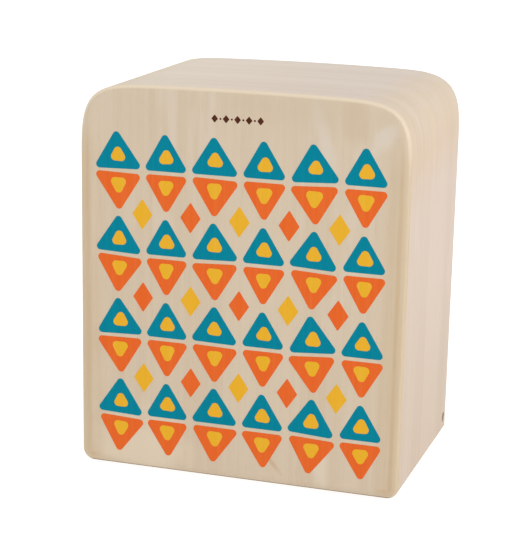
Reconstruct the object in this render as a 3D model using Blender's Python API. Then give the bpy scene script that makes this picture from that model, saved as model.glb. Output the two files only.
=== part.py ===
"""A small child's cajon: a box drum that is sat on and played with the hands.

One bent plywood shell makes both sides and the seat. A thin playing panel is glued to its front
edge, a back panel with a round sound hole is screwed inside its rear edge, and a base board closes
the bottom. Battens stiffen the joints, and a set of snare wires on a rail rests against the playing
panel. X runs across the width, the playing panel faces -Y, and the feet stand on Z = 0.
"""

import math

import bmesh
import bpy
import numpy as np
from mathutils import Matrix, Vector

# Overall sizes
WIDTH = 0.240
DEPTH = 0.170
BODY_HEIGHT = 0.283

# Fits
GLUE_GAP = 0.0003
PANEL_CLEARANCE = 0.0005
SCREW_CLEARANCE = 0.0003

# Shell
SHELL_WALL = 0.010
SEAT_CROWN = 0.0023
TOP_CORNER_REACH = 0.0605
TOP_CORNER_POWER = 4.35
FRONT_FOOT_ROUNDING = 0.0087
REAR_FOOT_ROUNDING = 0.0010

# Panels and base
FRONT_THICKNESS = 0.004
FRONT_EDGE_ROUNDING = 0.0034
BACK_THICKNESS = 0.005
BACK_RECESS = 0.0015
SOUND_HOLE_DIAMETER = 0.080
BASE_THICKNESS = 0.012
BASE_RECESS = 0.004

# Battens
BATTEN = 0.015
BATTEN_END_GAP = 0.004

# Feet
FOOT_DIAMETER = 0.018
FOOT_PROUD = 0.003
FOOT_INSET = 0.032
FOOT_CHAMFER = 0.001

# Snare
RAIL_HEIGHT = 0.020
RAIL_THICKNESS = 0.012
RAIL_DROP = 0.151
PLATE_HEIGHT = 0.012
PLATE_THICKNESS = 0.0012
PLATE_SCREW_MARGIN = 0.006
WIRE_COUNT = 12
WIRE_PITCH = 0.004
WIRE_DIAMETER = 0.0016
WIRE_LEAN = 0.034
WIRE_CONTACT = 0.042
WIRE_TIP = 0.008
WIRE_TIP_LIFT = 0.0015
WIRE_TAIL = 0.001

# Screws: head diameter, head height, shank diameter, length under the head
BACK_SCREW = (0.0060, 0.0018, 0.0030, 0.0150)
SIDE_SCREW = (0.0076, 0.0024, 0.0040, 0.0280)
PLATE_SCREW = (0.0050, 0.0016, 0.0024, 0.0100)
SCREW_TIP = 0.003
SIDE_SCREW_SETBACK = 0.0096
SIDE_SCREW_SINK = 0.0010
SOCKET_DEPTH_SHARE = 0.55
SOCKET_WIDTH_SHARE = 0.16
SOCKET_SPAN_SHARE = 0.62

# Smoothness
CORNER_STEPS = 18
CROWN_STEPS = 9
SMALL_CORNER_STEPS = 6
ROUNDING_STEPS = 4
HOLE_STEPS = 48
SCREW_STEPS = 16
FOOT_STEPS = 24
WIRE_SIDES = 8
SMOOTH_BELOW = math.radians(40)
CUTTER_REACH = 0.002

# Places that follow from the sizes above
FRONT_Y = -DEPTH / 2
REAR_Y = DEPTH / 2
BOTTOM_Z = FOOT_PROUD
TOP_Z = BOTTOM_Z + BODY_HEIGHT
INNER_X = WIDTH / 2 - SHELL_WALL
SHELL_FRONT_Y = FRONT_Y + FRONT_THICKNESS + GLUE_GAP
BASE_BOTTOM_Z = BOTTOM_Z + BASE_RECESS
BASE_TOP_Z = BASE_BOTTOM_Z + BASE_THICKNESS
FLOOR_Z = BASE_TOP_Z + GLUE_GAP
BACK_OUTER_Y = REAR_Y - BACK_RECESS
BACK_INNER_Y = BACK_OUTER_Y - BACK_THICKNESS
FRONT_BATTEN_REAR_Y = SHELL_FRONT_Y + BATTEN
BACK_BATTEN_REAR_Y = BACK_INNER_Y - GLUE_GAP
BACK_BATTEN_FRONT_Y = BACK_BATTEN_REAR_Y - BATTEN
BATTEN_X = INNER_X - GLUE_GAP - BATTEN / 2
CORNER_START_Z = TOP_Z - SEAT_CROWN - TOP_CORNER_REACH
CORNER_START_X = WIDTH / 2 - TOP_CORNER_REACH
RAIL_Z = TOP_Z - RAIL_DROP
RAIL_FRONT_Y = FRONT_BATTEN_REAR_Y + GLUE_GAP
PLATE_FRONT_Y = RAIL_FRONT_Y - GLUE_GAP - PLATE_THICKNESS
WIRE_SPAN = (WIRE_COUNT - 1) * WIRE_PITCH
PLATE_SCREW_X = WIRE_SPAN / 2 + WIRE_DIAMETER / 2 + PLATE_SCREW_MARGIN
PLATE_WIDTH = 2 * (PLATE_SCREW_X + PLATE_SCREW_MARGIN)


def clear_scene():
    """Removes whatever the file starts with."""
    for obj in list(bpy.data.objects):
        bpy.data.objects.remove(obj, do_unlink=True)


def make_material(name, colour, roughness, metallic=0.0):
    """A plain Principled material."""
    material = bpy.data.materials.new(name)
    material.use_nodes = True
    shader = material.node_tree.nodes["Principled BSDF"]
    shader.inputs["Base Color"].default_value = (*colour, 1.0)
    shader.inputs["Roughness"].default_value = roughness
    shader.inputs["Metallic"].default_value = metallic
    return material


def make_mesh(name, shape):
    """Turns a bmesh into a mesh that is smooth on its round faces."""
    bmesh.ops.recalc_face_normals(shape, faces=shape.faces)
    mesh = bpy.data.meshes.new(name)
    shape.to_mesh(mesh)
    shape.free()
    mesh.shade_smooth()
    mesh.set_sharp_from_angle(angle=SMOOTH_BELOW)
    return mesh


def place(name, mesh, material, location=(0, 0, 0), turn=None):
    """Adds one named object, with the material on the object so that copies share a mesh."""
    obj = bpy.data.objects.new(name, mesh)
    bpy.context.scene.collection.objects.link(obj)
    if not mesh.materials:
        mesh.materials.append(material)
    obj.location = location
    if turn is not None:
        obj.rotation_euler = turn.to_euler()
    return obj


def loft(name, near_outline, near_y, far_outline, far_y):
    """A closed mesh between two (x, z) outlines with as many points, at near_y and at far_y."""
    shape = bmesh.new()
    near = [shape.verts.new((x, near_y, z)) for x, z in near_outline]
    far = [shape.verts.new((x, far_y, z)) for x, z in far_outline]
    shape.faces.new(near)
    shape.faces.new(far[::-1])
    rims = [[shape.edges.get((a, b)) for a, b in zip(ring, ring[1:] + ring[:1])] for ring in (near, far)]
    bmesh.ops.bridge_loops(shape, edges=rims[0] + rims[1])
    return make_mesh(name, shape)


def prism(name, outline, near_y, far_y):
    """A mesh with the (x, z) outline as its section, running from near_y to far_y."""
    return loft(name, outline, near_y, outline, far_y)


def block(name, low, high):
    """A box from its lowest to its highest corner, centred on its own origin."""
    size = Vector(high) - Vector(low)
    shape = bmesh.new()
    bmesh.ops.create_cube(shape, size=1.0, matrix=Matrix.Diagonal((*size, 1.0)))
    return make_mesh(name, shape)


def add_block(name, low, high, material):
    """Adds a box that stands at its centre."""
    centre = (Vector(low) + Vector(high)) / 2
    return place(name, block(name, low, high), material, centre)


def turned(name, profile, steps):
    """A solid of revolution about Z from (radius, height) points that start and end on the axis."""
    shape = bmesh.new()
    points = [shape.verts.new((radius, 0, height)) for radius, height in profile]
    edges = [shape.edges.new(pair) for pair in zip(points, points[1:])]
    bmesh.ops.spin(
        shape, geom=points + edges, axis=(0, 0, 1), cent=(0, 0, 0), angle=math.tau, steps=steps
    )
    bmesh.ops.remove_doubles(shape, verts=shape.verts, dist=1e-6)
    return make_mesh(name, shape)


def cut(target, name, mesh, location=(0, 0, 0), turn=None):
    """Subtracts a helper shape from the target."""
    cutter = bpy.data.objects.new(name, mesh)
    bpy.context.scene.collection.objects.link(cutter)
    cutter.location = location
    if turn is not None:
        cutter.rotation_euler = turn.to_euler()
    cutter.hide_render = True
    cutter.display_type = "WIRE"
    modifier = target.modifiers.new(name, "BOOLEAN")
    modifier.operation = "DIFFERENCE"
    modifier.solver = "EXACT"
    modifier.object = cutter


def crowned(x, z):
    """Lowers a point by the seat's crown, which grows with the square of the distance from the middle."""
    return z - SEAT_CROWN * (2 * x / WIDTH) ** 2


def arch(inset):
    """The shell's surface from its right foot over the seat to its left foot, moved inwards by inset.

    The upper corners are quarters of a superellipse, so the bend eases in and out.
    """
    reach = TOP_CORNER_REACH
    share = 2 / TOP_CORNER_POWER
    angles = np.linspace(0, math.pi / 2, CORNER_STEPS + 1)
    corner_x = WIDTH / 2 - reach + reach * np.cos(angles) ** share
    corner_z = TOP_Z - reach + reach * np.sin(angles) ** share
    seat_x = np.linspace(CORNER_START_X, -CORNER_START_X, CROWN_STEPS + 1)[1:-1]
    x = np.concatenate([[WIDTH / 2], corner_x, seat_x, -corner_x[::-1], [-WIDTH / 2]])
    z = np.concatenate([corner_z, np.full(len(seat_x), TOP_Z), corner_z[::-1]])
    z = np.concatenate([[BOTTOM_Z], crowned(x[1:-1], z), [BOTTOM_Z]])
    along = np.column_stack([np.gradient(x), np.gradient(z)])
    along[[0, -1]] = [(0, 1), (0, -1)]
    along /= np.linalg.norm(along, axis=1)[:, None]
    return [(px - inset * dz, pz + inset * dx) for (px, pz), (dx, dz) in zip(zip(x, z), along)]


def foot_corner(side, radius):
    """The rounded lower corner on one side (1 right, -1 left), from the wall down to the underside."""
    turns = np.linspace(0, math.pi / 2, SMALL_CORNER_STEPS + 1)
    return [
        (
            side * (WIDTH / 2 - radius + radius * math.cos(turn)),
            BOTTOM_Z + radius - radius * math.sin(turn),
        )
        for turn in turns
    ]


def shell_outline(foot_rounding):
    """The section of the bent shell: the outer arch, the rounded feet and the inner arch."""
    outer = arch(0)[1:-1]
    inner = arch(SHELL_WALL)[::-1]
    right = foot_corner(1, foot_rounding)[::-1]
    return right + outer + foot_corner(-1, foot_rounding) + inner


def front_outline():
    """The playing panel's outline, flush with the outside of the shell all round."""
    right = foot_corner(1, FRONT_FOOT_ROUNDING)[::-1]
    return right + arch(0)[1:-1] + foot_corner(-1, FRONT_FOOT_ROUNDING)


def back_outline():
    """The back panel's outline, inside the shell and standing on the base board."""
    inner = arch(SHELL_WALL + PANEL_CLEARANCE)
    right, left = inner[0][0], inner[-1][0]
    return [(right, FLOOR_Z)] + inner[1:-1] + [(left, FLOOR_Z)]


def screw_profile(sizes):
    """A countersunk screw that points down -Z, with the top of its head at height 0."""
    head, head_height, shank, length = sizes
    return [
        (0, 0),
        (head / 2, 0),
        (shank / 2, -head_height),
        (shank / 2, SCREW_TIP - head_height - length),
        (0, -head_height - length),
    ]


def screw_hole_profile(sizes, sink=0.0):
    """The space a countersunk screw needs, open past the surface by CUTTER_REACH."""
    head, head_height, shank, length = sizes
    gap = SCREW_CLEARANCE
    return [
        (0, CUTTER_REACH + sink),
        (head / 2 + gap, CUTTER_REACH + sink),
        (head / 2 + gap, -gap),
        (shank / 2 + gap, -head_height - gap),
        (shank / 2 + gap, -head_height - length - gap),
        (0, -head_height - length - gap),
    ]


def screw_mesh(name, sizes):
    """A screw with a cross socket in its head, as one mesh with the cut applied."""
    head, head_height, _, _ = sizes
    blank = place(name + "_blank", turned(name + "_blank", screw_profile(sizes), SCREW_STEPS), STEEL)
    half_span = SOCKET_SPAN_SHARE * head / 2
    half_width = SOCKET_WIDTH_SHARE * head / 2
    deep = SOCKET_DEPTH_SHARE * head_height
    shape = bmesh.new()
    outline = []
    for quarter in range(4):
        for a, b in ((half_width, half_span), (-half_width, half_span), (-half_width, half_width)):
            spin = Matrix.Rotation(quarter * math.pi / 2, 2)
            outline.append(spin @ Vector((a, b)))
    face = shape.faces.new([shape.verts.new((x, y, -deep)) for x, y in outline])
    swept = bmesh.ops.extrude_face_region(shape, geom=[face])["geom"]
    moved = [part for part in swept if isinstance(part, bmesh.types.BMVert)]
    bmesh.ops.translate(shape, verts=moved, vec=(0, 0, deep + CUTTER_REACH))
    cut(blank, name + "_socket", make_mesh(name + "_socket", shape))
    graph = bpy.context.evaluated_depsgraph_get()
    mesh = bpy.data.meshes.new_from_object(blank.evaluated_get(graph))
    mesh.name = name
    cutter = blank.modifiers[0].object
    for helper in (blank, cutter):
        bpy.data.objects.remove(helper, do_unlink=True)
    return mesh


def facing(direction):
    """The turn that makes a screw's head face the given way."""
    return Vector(direction).to_track_quat("Z", "Y")


def fasten(name, mesh, sizes, location, direction, through, material, sink=0.0):
    """Places a screw with its head at the location, and cuts its hole in each piece it passes."""
    turn = facing(direction)
    seat = Vector(location) - sink * Vector(direction)
    place(name, mesh, material, seat, turn)
    for piece in through:
        hole = turned(name + "_hole", screw_hole_profile(sizes, sink), SCREW_STEPS)
        cut(piece, name + "_hole", hole, seat, turn)


clear_scene()

SHELL_WOOD = make_material("shell_wood", (0.76, 0.65, 0.53), 0.45)
FRONT_WOOD = make_material("front_wood", (0.68, 0.53, 0.37), 0.42)
BACK_WOOD = make_material("back_wood", (0.70, 0.57, 0.42), 0.5)
BATTEN_WOOD = make_material("batten_wood", (0.66, 0.50, 0.33), 0.65)
STEEL = make_material("steel", (0.62, 0.62, 0.62), 0.3, 1.0)
DARK_STEEL = make_material("dark_steel", (0.12, 0.11, 0.10), 0.4, 1.0)
RUBBER = make_material("rubber", (0.05, 0.05, 0.05), 0.8)


def build_shell():
    """The bent plywood that makes the seat and both sides.

    Its lower edges are rounded like the playing panel at the front, and the rounding runs out to the rear.
    """
    near = shell_outline(FRONT_FOOT_ROUNDING)
    far = shell_outline(REAR_FOOT_ROUNDING)
    mesh = loft("body_shell", near, SHELL_FRONT_Y, far, REAR_Y)
    return place("body_shell", mesh, SHELL_WOOD)


def build_base():
    """The base board, fitted between the sides and flush with the rear edge."""
    side = INNER_X - GLUE_GAP
    low = (-side, SHELL_FRONT_Y, BASE_BOTTOM_Z)
    return add_block("base_board", low, (side, REAR_Y, BASE_TOP_Z), SHELL_WOOD)


def build_front():
    """The playing panel, rounded over along its whole front edge."""
    mesh = prism("front_panel", front_outline(), FRONT_Y, FRONT_Y + FRONT_THICKNESS)
    panel = place("front_panel", mesh, FRONT_WOOD)
    weights = mesh.attributes.new("bevel_weight_edge", "FLOAT", "EDGE")
    for edge in mesh.edges:
        ends = [mesh.vertices[index].co.y for index in edge.vertices]
        weights.data[edge.index].value = float(max(ends) < FRONT_Y + FRONT_THICKNESS / 2)
    rounding = panel.modifiers.new("rounding", "BEVEL")
    rounding.limit_method = "WEIGHT"
    rounding.width = FRONT_EDGE_ROUNDING
    rounding.segments = ROUNDING_STEPS
    return panel


def build_back():
    """The back panel with its sound hole in the middle."""
    mesh = prism("back_panel", back_outline(), BACK_INNER_Y, BACK_OUTER_Y)
    panel = place("back_panel", mesh, BACK_WOOD)
    centre_z = (FLOOR_Z + TOP_Z - SHELL_WALL) / 2
    radius = SOUND_HOLE_DIAMETER / 2
    reach = BACK_THICKNESS / 2 + CUTTER_REACH
    profile = [(0, reach), (radius, reach), (radius, -reach), (0, -reach)]
    hole = turned("sound_hole", profile, HOLE_STEPS)
    middle = (0, (BACK_INNER_Y + BACK_OUTER_Y) / 2, centre_z)
    cut(panel, "sound_hole", hole, middle, facing((0, 1, 0)))
    return panel


def build_frame(prefix, near_y, far_y):
    """Four battens behind one panel: two uprights, one under the seat and one on the base board."""
    upright_low = FLOOR_Z
    upright_high = CORNER_START_Z
    pieces = {}
    for side, sign in (("left", -1), ("right", 1)):
        middle = sign * BATTEN_X
        low = (middle - BATTEN / 2, near_y, upright_low)
        high = (middle + BATTEN / 2, far_y, upright_high)
        pieces[side] = add_block(f"{prefix}_batten_{side}", low, high, BATTEN_WOOD)
    top_x = CORNER_START_X - BATTEN_END_GAP
    top_z = crowned(top_x, TOP_Z) - SHELL_WALL - GLUE_GAP
    bottom_x = BATTEN_X - BATTEN / 2 - BATTEN_END_GAP
    spans = {"top": (top_x, top_z - BATTEN, top_z), "bottom": (bottom_x, FLOOR_Z, FLOOR_Z + BATTEN)}
    for level, (half, low_z, high_z) in spans.items():
        name = f"{prefix}_batten_{level}"
        pieces[level] = add_block(name, (-half, near_y, low_z), (half, far_y, high_z), BATTEN_WOOD)
    return pieces


def build_feet():
    """Four rubber pads stuck in the recess under the base board."""
    height = BASE_RECESS + FOOT_PROUD - GLUE_GAP
    radius = FOOT_DIAMETER / 2
    profile = [(0, height), (radius, height), (radius, FOOT_CHAMFER), (radius - FOOT_CHAMFER, 0), (0, 0)]
    mesh = turned("foot", profile, FOOT_STEPS)
    for depth, sign_y in (("front", -1), ("rear", 1)):
        for side, sign_x in (("left", -1), ("right", 1)):
            spot = (sign_x * (WIDTH / 2 - FOOT_INSET), sign_y * (DEPTH / 2 - FOOT_INSET), 0)
            place(f"foot_{depth}_{side}", mesh, RUBBER, spot)


def fasten_back(panel, frame):
    """Eight screws that hold the back panel to its battens."""
    mesh = screw_mesh("back_screw", BACK_SCREW)
    upright = frame["right"]
    upright_low = FLOOR_Z + BATTEN / 2
    upright_high = CORNER_START_Z - BATTEN / 2
    middle_z = (upright_low + upright_high) / 2
    bottom_z = FLOOR_Z + BATTEN / 2
    top_z = frame["top"].location.z
    spots = [
        (upright.location.x, upright_low, "right"),
        (upright.location.x, middle_z, "right"),
        (upright.location.x, upright_high, "right"),
        (-upright.location.x, upright_low, "left"),
        (-upright.location.x, middle_z, "left"),
        (-upright.location.x, upright_high, "left"),
        (0, top_z, "top"),
        (0, bottom_z, "bottom"),
    ]
    for count, (x, z, level) in enumerate(spots, 1):
        pieces = (panel, frame[level])
        spot = (x, BACK_OUTER_Y, z)
        fasten(f"back_screw_{count}", mesh, BACK_SCREW, spot, (0, 1, 0), pieces, STEEL)


def fasten_base(shell, base):
    """One dark screw through each side into the rear end of the base board."""
    mesh = screw_mesh("side_screw", SIDE_SCREW)
    z = (BASE_BOTTOM_Z + BASE_TOP_Z) / 2
    for side, sign in (("left", -1), ("right", 1)):
        spot = (sign * WIDTH / 2, REAR_Y - SIDE_SCREW_SETBACK, z)
        name = f"side_screw_{side}"
        way = (sign, 0, 0)
        fasten(name, mesh, SIDE_SCREW, spot, way, (shell, base), DARK_STEEL, SIDE_SCREW_SINK)


def wire_route():
    """A snare wire's centre line as (y, z): up the plate, forward to the panel, along it, and off it."""
    radius = WIRE_DIAMETER / 2
    rest_y = PLATE_FRONT_Y - GLUE_GAP - radius
    touch_y = FRONT_Y + FRONT_THICKNESS + GLUE_GAP + radius
    start_z = RAIL_Z - PLATE_HEIGHT / 2 + WIRE_TAIL
    leave_z = RAIL_Z + PLATE_HEIGHT / 2
    touch_z = leave_z + WIRE_LEAN
    lift_z = touch_z + WIRE_CONTACT
    route = [(rest_y, start_z)]
    for share in np.linspace(0, 1, 7):
        eased = (1 - math.cos(math.pi * share)) / 2
        route.append((rest_y + (touch_y - rest_y) * eased, leave_z + WIRE_LEAN * share))
    for share in np.linspace(0, 1, 4):
        route.append((touch_y + WIRE_TIP_LIFT * share**2, lift_z + WIRE_TIP * share))
    return route


def wire_mesh():
    """One snare wire as a tube along its route, at x = 0."""
    curve = bpy.data.curves.new("snare_wire", "CURVE")
    curve.dimensions = "3D"
    curve.bevel_depth = WIRE_DIAMETER / 2
    curve.bevel_resolution = WIRE_SIDES // 2 - 2
    curve.use_fill_caps = True
    route = wire_route()
    spline = curve.splines.new("POLY")
    spline.points.add(len(route) - 1)
    for point, (y, z) in zip(spline.points, route):
        point.co = (0, y, z, 1)
    carrier = bpy.data.objects.new("snare_wire_route", curve)
    bpy.context.scene.collection.objects.link(carrier)
    graph = bpy.context.evaluated_depsgraph_get()
    shape = bmesh.new()
    shape.from_mesh(carrier.evaluated_get(graph).to_mesh())
    bpy.data.objects.remove(carrier, do_unlink=True)
    bmesh.ops.remove_doubles(shape, verts=shape.verts, dist=1e-6)
    return make_mesh("snare_wire", shape)


def build_snare():
    """The rail, the plate that is screwed to it and the wires that run from the plate to the panel."""
    half = INNER_X - GLUE_GAP
    low = (-half, RAIL_FRONT_Y, RAIL_Z - RAIL_HEIGHT / 2)
    high = (half, RAIL_FRONT_Y + RAIL_THICKNESS, RAIL_Z + RAIL_HEIGHT / 2)
    rail = add_block("snare_rail", low, high, BATTEN_WOOD)
    low = (-PLATE_WIDTH / 2, PLATE_FRONT_Y, RAIL_Z - PLATE_HEIGHT / 2)
    high = (PLATE_WIDTH / 2, PLATE_FRONT_Y + PLATE_THICKNESS, RAIL_Z + PLATE_HEIGHT / 2)
    plate = add_block("snare_plate", low, high, STEEL)
    mesh = screw_mesh("snare_screw", PLATE_SCREW)
    for side, sign in (("left", -1), ("right", 1)):
        spot = (sign * PLATE_SCREW_X, PLATE_FRONT_Y, RAIL_Z)
        fasten(f"snare_screw_{side}", mesh, PLATE_SCREW, spot, (0, -1, 0), (plate, rail), STEEL)
    wire = wire_mesh()
    for count in range(WIRE_COUNT):
        x = count * WIRE_PITCH - WIRE_SPAN / 2
        place(f"snare_wire_{count + 1:02d}", wire, STEEL, (x, 0, 0))


def main():
    """Builds the pieces in the order in which they go together."""
    shell = build_shell()
    base = build_base()
    build_front()
    build_frame("front", SHELL_FRONT_Y, FRONT_BATTEN_REAR_Y)
    panel = build_back()
    frame = build_frame("back", BACK_BATTEN_FRONT_Y, BACK_BATTEN_REAR_Y)
    build_feet()
    fasten_back(panel, frame)
    fasten_base(shell, base)
    build_snare()


main()
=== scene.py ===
"""Looks of a small child's cajon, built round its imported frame.

The bent plywood shell, the playing panel with its printed triangles, the rear panel with its sound
hole, the frame of battens, the snare wires, the screws and the rubber pads are each worked out as
smooth surfaces in metres and dressed with procedural wood, ink, steel and rubber.
"""

import logging
import math
from collections.abc import Sequence
from dataclasses import dataclass
from enum import Enum

import bmesh
import bpy
import numpy as np
from mathutils import Matrix, Vector


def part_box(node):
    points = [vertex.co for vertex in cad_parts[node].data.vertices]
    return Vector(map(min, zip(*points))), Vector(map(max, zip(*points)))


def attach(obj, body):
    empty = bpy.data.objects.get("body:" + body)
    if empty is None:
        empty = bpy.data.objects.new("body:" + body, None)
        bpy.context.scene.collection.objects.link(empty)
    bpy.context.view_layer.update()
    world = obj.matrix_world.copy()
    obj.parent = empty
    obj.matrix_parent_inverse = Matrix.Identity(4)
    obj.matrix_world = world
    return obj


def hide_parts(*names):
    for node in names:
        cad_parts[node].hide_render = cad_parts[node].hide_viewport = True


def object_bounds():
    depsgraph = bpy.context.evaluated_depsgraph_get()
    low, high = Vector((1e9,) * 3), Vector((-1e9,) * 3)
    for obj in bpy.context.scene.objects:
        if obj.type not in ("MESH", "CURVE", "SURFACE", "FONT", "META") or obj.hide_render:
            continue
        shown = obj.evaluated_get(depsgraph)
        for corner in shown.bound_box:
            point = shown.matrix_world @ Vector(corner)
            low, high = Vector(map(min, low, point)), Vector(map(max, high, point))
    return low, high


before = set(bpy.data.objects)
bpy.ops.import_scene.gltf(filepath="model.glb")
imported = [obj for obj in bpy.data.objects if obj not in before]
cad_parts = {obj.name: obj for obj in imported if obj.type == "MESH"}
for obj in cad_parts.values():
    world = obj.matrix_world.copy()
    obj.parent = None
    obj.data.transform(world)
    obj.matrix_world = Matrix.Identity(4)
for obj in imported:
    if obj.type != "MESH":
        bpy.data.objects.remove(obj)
CAD_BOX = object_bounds()

LOG = logging.getLogger("cajon")
BODY = "root"
GRAIN = "grain"
RIM = "rim"
END_GRAIN = "end_grain"
NEAR_AXIS = 1e-6
SHELL_CREASE = 35.0
PANEL_CREASE = 40.0
Colour = tuple[float, float, float]
Socket = bpy.types.NodeSocket
Feed = Socket | float | tuple


class Side(Enum):
    """The two sides of the drum, with the sign of their X."""

    RIGHT = 1
    LEFT = -1


class Ink(Enum):
    """The inks of the print, each with its name in the piece list."""

    TEAL = "ink_teal"
    ORANGE = "ink_orange"
    YELLOW = "ink_yellow"
    BROWN = "ink_ornament"


class Blend(Enum):
    """How a second colour is laid over a first one."""

    COVER = "MIX"
    STAIN = "MULTIPLY"


# ---------------------------------------------------------------- colours

PORE_STAIN = (0.72, 0.58, 0.44)
# Painted shade: the shell darkens towards its right, over the seat and the right side.
RIGHT_SHADE = (0.940, 0.925, 0.950)
SIDE_STAIN = (0.945, 0.890, 0.850)
# Painted shade: the shell darkens and yellows towards the bottom.
LOWER_SHADE = (0.935, 0.920, 0.875)
BEND_STAIN = (1.0, 0.960, 0.845)
EDGE_STAIN = (0.945, 0.905, 0.825)
TURN_STAIN = (0.960, 0.910, 0.845)
# Painted shade for the drum's lower edge, just over the floor.
UNDERSIDE_SHADE = (0.36, 0.33, 0.30)
SPECK_STAIN = (0.80, 0.76, 0.72)
RUBBED_STEEL = (0.75, 0.74, 0.72)


def linear(red: int, green: int, blue: int) -> Colour:
    """Turns a paint chip's display values into the linear values a shader takes.

    Args:
        red: Red from 0 to 255.
        green: Green from 0 to 255.
        blue: Blue from 0 to 255.

    Returns:
        Three linear values, by the usual display curve: a straight foot, then a power of 2.4.
    """
    chip = np.array([red, green, blue]) / 255
    curve = np.where(chip <= 0.04045, chip / 12.92, ((chip + 0.055) / 1.055) ** 2.4)
    return tuple(float(value) for value in curve)


# ---------------------------------------------------------------- node wiring


@dataclass
class Wiring:
    """Adds nodes to one node tree and joins them from left to right."""

    tree: bpy.types.NodeTree

    def feed(self, target: Socket, value: Feed) -> None:
        """Links a socket to the target, or sets the target's own value."""
        if isinstance(value, Socket):
            self.tree.links.new(value, target)
        elif isinstance(value, tuple) and target.type == "RGBA":
            target.default_value = (*value, 1.0)
        else:
            target.default_value = value

    def node(self, kind: str, feeds: dict[str | int, Feed], **settings: object) -> bpy.types.Node:
        """Adds one node.

        Args:
            kind: The node's type.
            feeds: What goes into each input, by the input's name or number.
            **settings: The node's own options.

        Returns:
            The new node.
        """
        made = self.tree.nodes.new(kind)
        made.location = (190 * (len(self.tree.nodes) % 12), -230 * (len(self.tree.nodes) // 12))
        for option, value in settings.items():
            setattr(made, option, value)
        for name, value in feeds.items():
            self.feed(made.inputs[name], value)
        return made

    def attribute(self, name: str) -> bpy.types.Node:
        """The node that reads one of the mesh's own attributes."""
        return self.node("ShaderNodeAttribute", {}, attribute_name=name)

    def stretched(
        self, place: Socket, scale: Sequence[float], turn: float = 0.0, shift: float = 0.0
    ) -> Socket:
        """Scales a place along its own axes, after turning it about the depth axis.

        Args:
            place: The place to scale.
            scale: Repeats per metre across the grain, along it and in depth.
            turn: The turn in radians.
            shift: An offset that gives each use its own patch of pattern.

        Returns:
            The scaled place.
        """
        feeds = {"Vector": place, "Scale": tuple(scale), "Rotation": (0.0, 0.0, turn)}
        feeds["Location"] = (shift, shift / 2, shift / 3)
        return self.node("ShaderNodeMapping", feeds).outputs["Vector"]

    def noise(self, place: Socket, detail: float = 2.0, rough: float = 0.5, bend: float = 0.0) -> Socket:
        """Smooth noise of one repeat per unit of the place it is given."""
        feeds = {"Vector": place, "Scale": 1.0, "Detail": detail, "Roughness": rough, "Distortion": bend}
        return self.node("ShaderNodeTexNoise", feeds).outputs[0]

    def eased(
        self, value: Socket, start: float, end: float, low: float = 0.0, high: float = 1.0
    ) -> Socket:
        """Eases a value from low at start to high at end."""
        feeds = {"Value": value, "From Min": start, "From Max": end, "To Min": low, "To Max": high}
        made = self.node("ShaderNodeMapRange", feeds, interpolation_type="SMOOTHSTEP")
        return made.outputs["Result"]

    def maths(self, operation: str, first: Feed, second: Feed = 0.0) -> Socket:
        """One step of arithmetic."""
        return self.node("ShaderNodeMath", {0: first, 1: second}, operation=operation).outputs[0]

    def times(self, first: Feed, second: Feed) -> Socket:
        """The product of two values."""
        return self.maths("MULTIPLY", first, second)

    def group(self, tree: bpy.types.NodeTree, feeds: dict[str, Feed]) -> bpy.types.Node:
        """Adds one of the shared effects, with what goes into it."""
        return self.node("ShaderNodeGroup", feeds, node_tree=tree)

    def over(self, amount: Feed, under: Feed, top: Feed, blend: Blend = Blend.COVER) -> Socket:
        """Lays one colour over another by an amount from 0 to 1."""
        feeds = {0: amount, 6: under, 7: top}
        made = self.node("ShaderNodeMix", feeds, data_type="RGBA", blend_type=blend.value)
        return made.outputs[2]


@dataclass
class Effect:
    """A node group that several finishes share."""

    name: str
    takes: dict[str, str]
    gives: dict[str, str]

    def open(self) -> tuple[bpy.types.NodeTree, Wiring, bpy.types.Node, bpy.types.Node]:
        """Makes the empty group with its named inputs and outputs."""
        tree = bpy.data.node_groups.new(self.name, "ShaderNodeTree")
        for way, sockets in (("INPUT", self.takes), ("OUTPUT", self.gives)):
            for label, kind in sockets.items():
                tree.interface.new_socket(name=label, in_out=way, socket_type=f"NodeSocket{kind}")
        wiring = Wiring(tree)
        return tree, wiring, wiring.node("NodeGroupInput", {}), wiring.node("NodeGroupOutput", {})


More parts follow.
